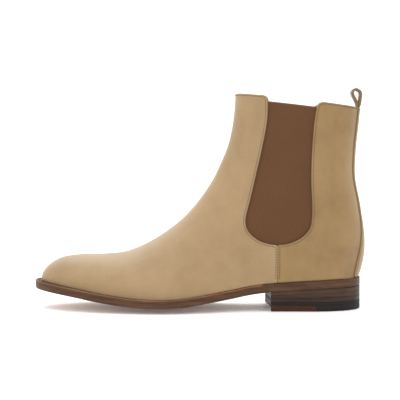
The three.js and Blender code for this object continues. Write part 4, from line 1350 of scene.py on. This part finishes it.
def band(name, pick, profile, paints):
    """A strip along the part of the sole's ring that pick chooses by x. Its section is a closed loop of
    (inset, depth under the seat). The first paint is for the edge and the second, if any, for the top.
    Returns it with its line and outward directions."""
    closed = counterclockwise(ring_at(sole_margin, RING_STEP))
    chosen = pick(closed[:, 0])
    start = int(np.flatnonzero(chosen & ~np.roll(chosen, 1))[0])
    order = (start + np.arange(int(chosen.sum()))) % len(closed)
    xy, out = closed[order], outward(closed)[order]
    beyond = closed[[order[0] - 1, (order[-1] + 1) % len(closed)]]
    for end, other in ((0, beyond[0]), (-1, beyond[1])):
        xy[end] += (other - xy[end]) * (SPLIT - xy[end, 0]) / (other[0] - xy[end, 0])
    insets = [xy - out * inset for inset, _ in profile]
    co = np.stack([np.c_[at, under_seat(depth)(*at.T)] for at, (_, depth) in zip(insets, profile)], 1)
    n = len(co)
    faces = tube_faces(n, len(profile))
    piece = put_in_scene(name, co.reshape(-1, 3), faces, paints[0])
    if len(paints) > 1 and len(piece.data.polygons) == len(faces):
        on_top = [depth < 0.5 and inset < 9 for inset, depth in profile]
        piece.data.materials.append(paints[1])
        piece.data.polygons.foreach_set("material_index", [*map(int, on_top)] * (n - 1) + [0, 0])
    print(name, n, "sections")
    return piece, xy, out


WELT_SHAPE = [
    (9.5, 0.0), (4.4, 0.0), (3.7, 0.18), (2.9, 0.34), (2.2, 0.18), (1.5, 0.0), (0.55, 0.03), (0.14, 0.4),
    (0.0, 1.0), (0.0, 2.2), (0.0, 2.8), (0.2, 2.9), (9.5, 2.9),
]
RAND_SHAPE = [
    (7.5, 0.0), (0.5, 0.02), (0.1, 0.25), (0.0, 0.7), (0.0, 2.2), (0.0, 2.8), (0.2, 2.9), (7.5, 2.9),
]
welt_paints = [sole_edge, welt_top_painted_highlight]
welt, welt_line, welt_out = band("welt_strip", lambda x: x < SPLIT - 0.1, WELT_SHAPE, welt_paints)
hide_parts("welt")
rand, _, _ = band("heel_rand_strip", lambda x: x >= SPLIT - 0.1, RAND_SHAPE, [sole_edge])
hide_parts("heel_rand")

# %% [markdown]
# ## Welt stitching
# The sole is stitched to the welt from above, which shows as a row of dark stitches in the channel next
# to the upper. The row ends at the waist, where the welt gets too narrow for it.

# %% Welt stitching
CHANNEL_INSET, CHANNEL_DEPTH = 2.9, 0.3
ROW_END = 6
welt_at = welt_line - welt_out * CHANNEL_INSET
welt_heights = seat(welt_at[:, 0]) - hang(*welt_at.T) - CHANNEL_DEPTH
wide_enough = welt_at[:, 0] < ROW_END
welt_row = np.c_[welt_at, welt_heights][wide_enough]
straight_up = np.tile([0.0, 0.0, 1.0], (len(welt_row), 1))
thread_row("stitches_welt", [(welt_row, straight_up)], dark_thread, 0.22, pitch=3.6, length=2.9, arch=0.2)

# %% [markdown]
# ## Heel outline
# Lifts and top piece are ground to one outline after they are glued: that of the sole, cut off in front
# by the heel's front face, the breast, which is hollow and stands a little askew. Straight cuts across
# divide the top piece.

# %% Heel outline
BREAST_HOLLOW, BREAST_SKEW = 2.5, 1.4
HEEL_HALF_WIDTH = 34
BREAST_CLEAR = 0.9  # nearest that a point of the sole's ring comes to the breast
CORNER_ROOM = 1.6  # the same for a straight cut


def breast_x(y):
    """x of the breast at y."""
    across = y / HEEL_HALF_WIDTH
    return BREAST + 0.7 - BREAST_HOLLOW * across**2 - BREAST_SKEW * y / HEEL_HALF_WIDTH


def heel_ring(front=None, back=None):
    """The heel's outline, cut by the breast and, if given, by straight lines across in front or behind.
    No other point stays close to a cut, so that the corners can be rounded."""
    whole = counterclockwise(ring_at(sole_margin, RING_STEP))
    behind = whole[:, 0] - breast_x(whole[:, 1]) > BREAST_CLEAR
    start = int(np.flatnonzero(behind & ~np.roll(behind, 1))[0])
    arc = whole[(start + np.arange(int(behind.sum()))) % len(whole)]
    across = np.linspace(arc[-1, 1], arc[0, 1], 25)
    ring = np.vstack([arc, np.c_[breast_x(across), across]])
    for limit, sign in ((front, 1), (back, -1)):
        if limit is None:
            continue
        kept = []
        for p, q in zip(ring, np.roll(ring, -1, axis=0)):
            if (p[0] - limit) * sign > CORNER_ROOM:
                kept.append(p)
            if (p[0] - limit) * (q[0] - limit) < 0:
                kept.append(p + (q - p) * (limit - p[0]) / (q[0] - p[0]))
        ring = np.array(kept)
    return ring


print("heel outline:", len(heel_ring()), "points")

# %% [markdown]
# ## Heel lifts
# Three lifts of leather fill the wedge between the sloping sole and the level top piece. Each gives a
# third of the height, so all three are a little thicker in front than behind. Their edges are
# broken a little, and that leaves the fine dark lines between the layers of a stacked heel.

# %% Heel lifts
TOP_PIECE_HEIGHT = 8.75
LIFT_GAP = 0.06
LIFT_EDGE = [(0.3, 0.0), (0.06, 0.02), (0.0, 0.08), (0.0, 0.92), (0.06, 0.98), (0.3, 1.0)]


def lift_face(n, gap=0.0):
    """Height of the face under the first n lifts."""
    def height(x, y):
        sole = seat(x) - OUTSOLE_BOTTOM
        return sole + (TOP_PIECE_HEIGHT - sole) * n / 3 - gap
    return height


for i, paint in enumerate(lift_paints):
    faces = lift_face(i, LIFT_GAP), lift_face(i + 1)
    lift = plate(f"heel_lift_leather_{i + 1}", heel_ring(), LIFT_EDGE, *faces, [paint])
    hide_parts(f"heel_lift_{i + 1}")

# %% [markdown]
# ## Top piece
# The top piece is what meets the ground. A thin layer of rubber runs under the whole heel; the rear half
# is rubber down to the ground, and the front half is leather let into it. The two rubber parts are
# moulded as one, so their meshes are joined under one name.

# %% Top piece
INSERT_THICK = 5.8
INSERT_END = BREAST + 41


def join(name, pieces):
    """Joins finished meshes into the first and gives it a name."""
    bm = bmesh.new()
    for piece in pieces:
        bm.from_mesh(piece.data)
    bm.to_mesh(pieces[0].data)
    bm.free()
    for piece in pieces[1:]:
        bpy.data.objects.remove(piece)
    pieces[0].name = name
    return pieces[0]


RUBBER_EDGE = [(0.4, 0.0), (0.1, 0.05), (0.0, 0.12), (0.0, 0.8), (0.25, 0.93), (0.9, 1.0)]
thin_layer = plate(
    "rubber_layer", heel_ring(), LIFT_EDGE, flat_face(TOP_PIECE_HEIGHT - 0.08),
    flat_face(INSERT_THICK + 0.1), [rubber_black], INNER_RINGS,
)
rear_half = plate(
    "rubber_rear", heel_ring(front=INSERT_END + 0.1), RUBBER_EDGE, flat_face(INSERT_THICK + 0.2),
    flat_face(0.05), [rubber_black], INNER_RINGS,
)
rubber_piece = join("top_piece_rubber_black", [thin_layer, rear_half])
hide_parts("top_piece_rubber")
insert = plate(
    "top_piece_insert", heel_ring(back=INSERT_END - 0.1), RUBBER_EDGE, flat_face(INSERT_THICK),
    flat_face(0.1), [insert_brown, sole_underside], INNER_RINGS,
)
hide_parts("top_piece_leather")

# %% [markdown]
# ## Metal
# Brass and steel are all reflection: a metallic shader with fine scratches that make the gloss uneven.

# %% Metal
def metal_finish(name, colour, roughness):
    f = Finish(name, roughness=roughness, metallic=1.0)
    scratch = f.noise(1.0, detail=4, where=f.stretch((400, 2600, 900)))
    f.colour(f.mix(f.fade(scratch, 0.35, 0.7), colour, tuple(c * 0.7 for c in colour[:3]) + (1,)))
    f.roughness(f.fade(scratch, 0.3, 0.7, roughness, roughness + 0.2))
    return f.bump((scratch, 0.15, 0.0001))


brass_yellow = metal_finish("brass_yellow", srgb(196, 160, 84), 0.3)
steel_grey = metal_finish("steel_grey", srgb(150, 152, 156), 0.35)
print("metals:", brass_yellow.name, steel_grey.name)

# %% [markdown]
# ## Nails
# Nine brass nails hold the top piece. Their heads lie flush with the underside, so each is a flat disc
# with a softened rim. A nail is a turned shape: one line of radius and height, spun round its axis.

# %% Nails
NAIL_SIDES = 20
NAIL_LINE = [
    (1.25, 0.0), (1.45, 0.12), (1.5, 0.3), (1.5, 0.8), (0.8, 0.95), (0.8, 11.0), (0.02, 12.0),
]


def nail_body(centre):
    """A turned nail: flat head with a soft rim below, shank and point above."""
    turns = np.arange(NAIL_SIDES) * 2 * math.pi / NAIL_SIDES
    co = [(0, 0, 0.0)] + [(r * math.cos(t), r * math.sin(t), z) for r, z in NAIL_LINE for t in turns]
    ring = [(j, (j + 1) % NAIL_SIDES) for j in range(NAIL_SIDES)]
    faces = [(0, 1 + k, 1 + j) for j, k in ring]
    for base in range(1, 1 + (len(NAIL_LINE) - 1) * NAIL_SIDES, NAIL_SIDES):
        above = base + NAIL_SIDES
        faces += [(base + j, base + k, above + k, above + j) for j, k in ring]
    faces.append(tuple(1 + (len(NAIL_LINE) - 1) * NAIL_SIDES + j for j, _ in ring))
    return np.array(co) + centre, faces


for i in range(1, 10):
    low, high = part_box(f"top_piece_nail_{i}")
    centre = np.array([(low[0] + high[0]) / 2 / MM, (low[1] + high[1]) / 2 / MM, 0.0]) - shift
    nail = put_in_scene(f"brass_nail_{i}", *nail_body(centre), brass_yellow)
    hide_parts(f"top_piece_nail_{i}")
print("nails:", i, "of", len(nail.data.polygons), "faces")

# %% [markdown]
# ## Hidden pieces
# The steel nails, the shank, the insole and the cork filler stay as the engineered model has them, since
# nothing shows of them, and only get a finish. Cork is a pressed mass of crumbs, which a cell pattern
# gives at once.

# %% Hidden pieces
def cork_finish():
    f = Finish("cork", roughness=0.95, specular=0.15)
    cells = f.node("ShaderNodeTexVoronoi", Vector=f.place, Scale=420.0).outputs["Distance"]
    f.colour(f.ramp(cells, (0.1, srgb(110, 78, 48)), (0.6, srgb(172, 132, 88))))
    return f.bump((cells, 0.4, 0.0005))


hidden = {"insole": leather_board, "cork_filler": cork_finish(), "shank": steel_grey}
hidden.update({f"heel_nail_{i}": steel_grey for i in range(1, 6)})
for node, paint in hidden.items():
    mesh = frame["nodes"][node].data
    mesh.materials.clear()
    mesh.materials.append(paint)
print("finished", len(hidden), "hidden pieces")
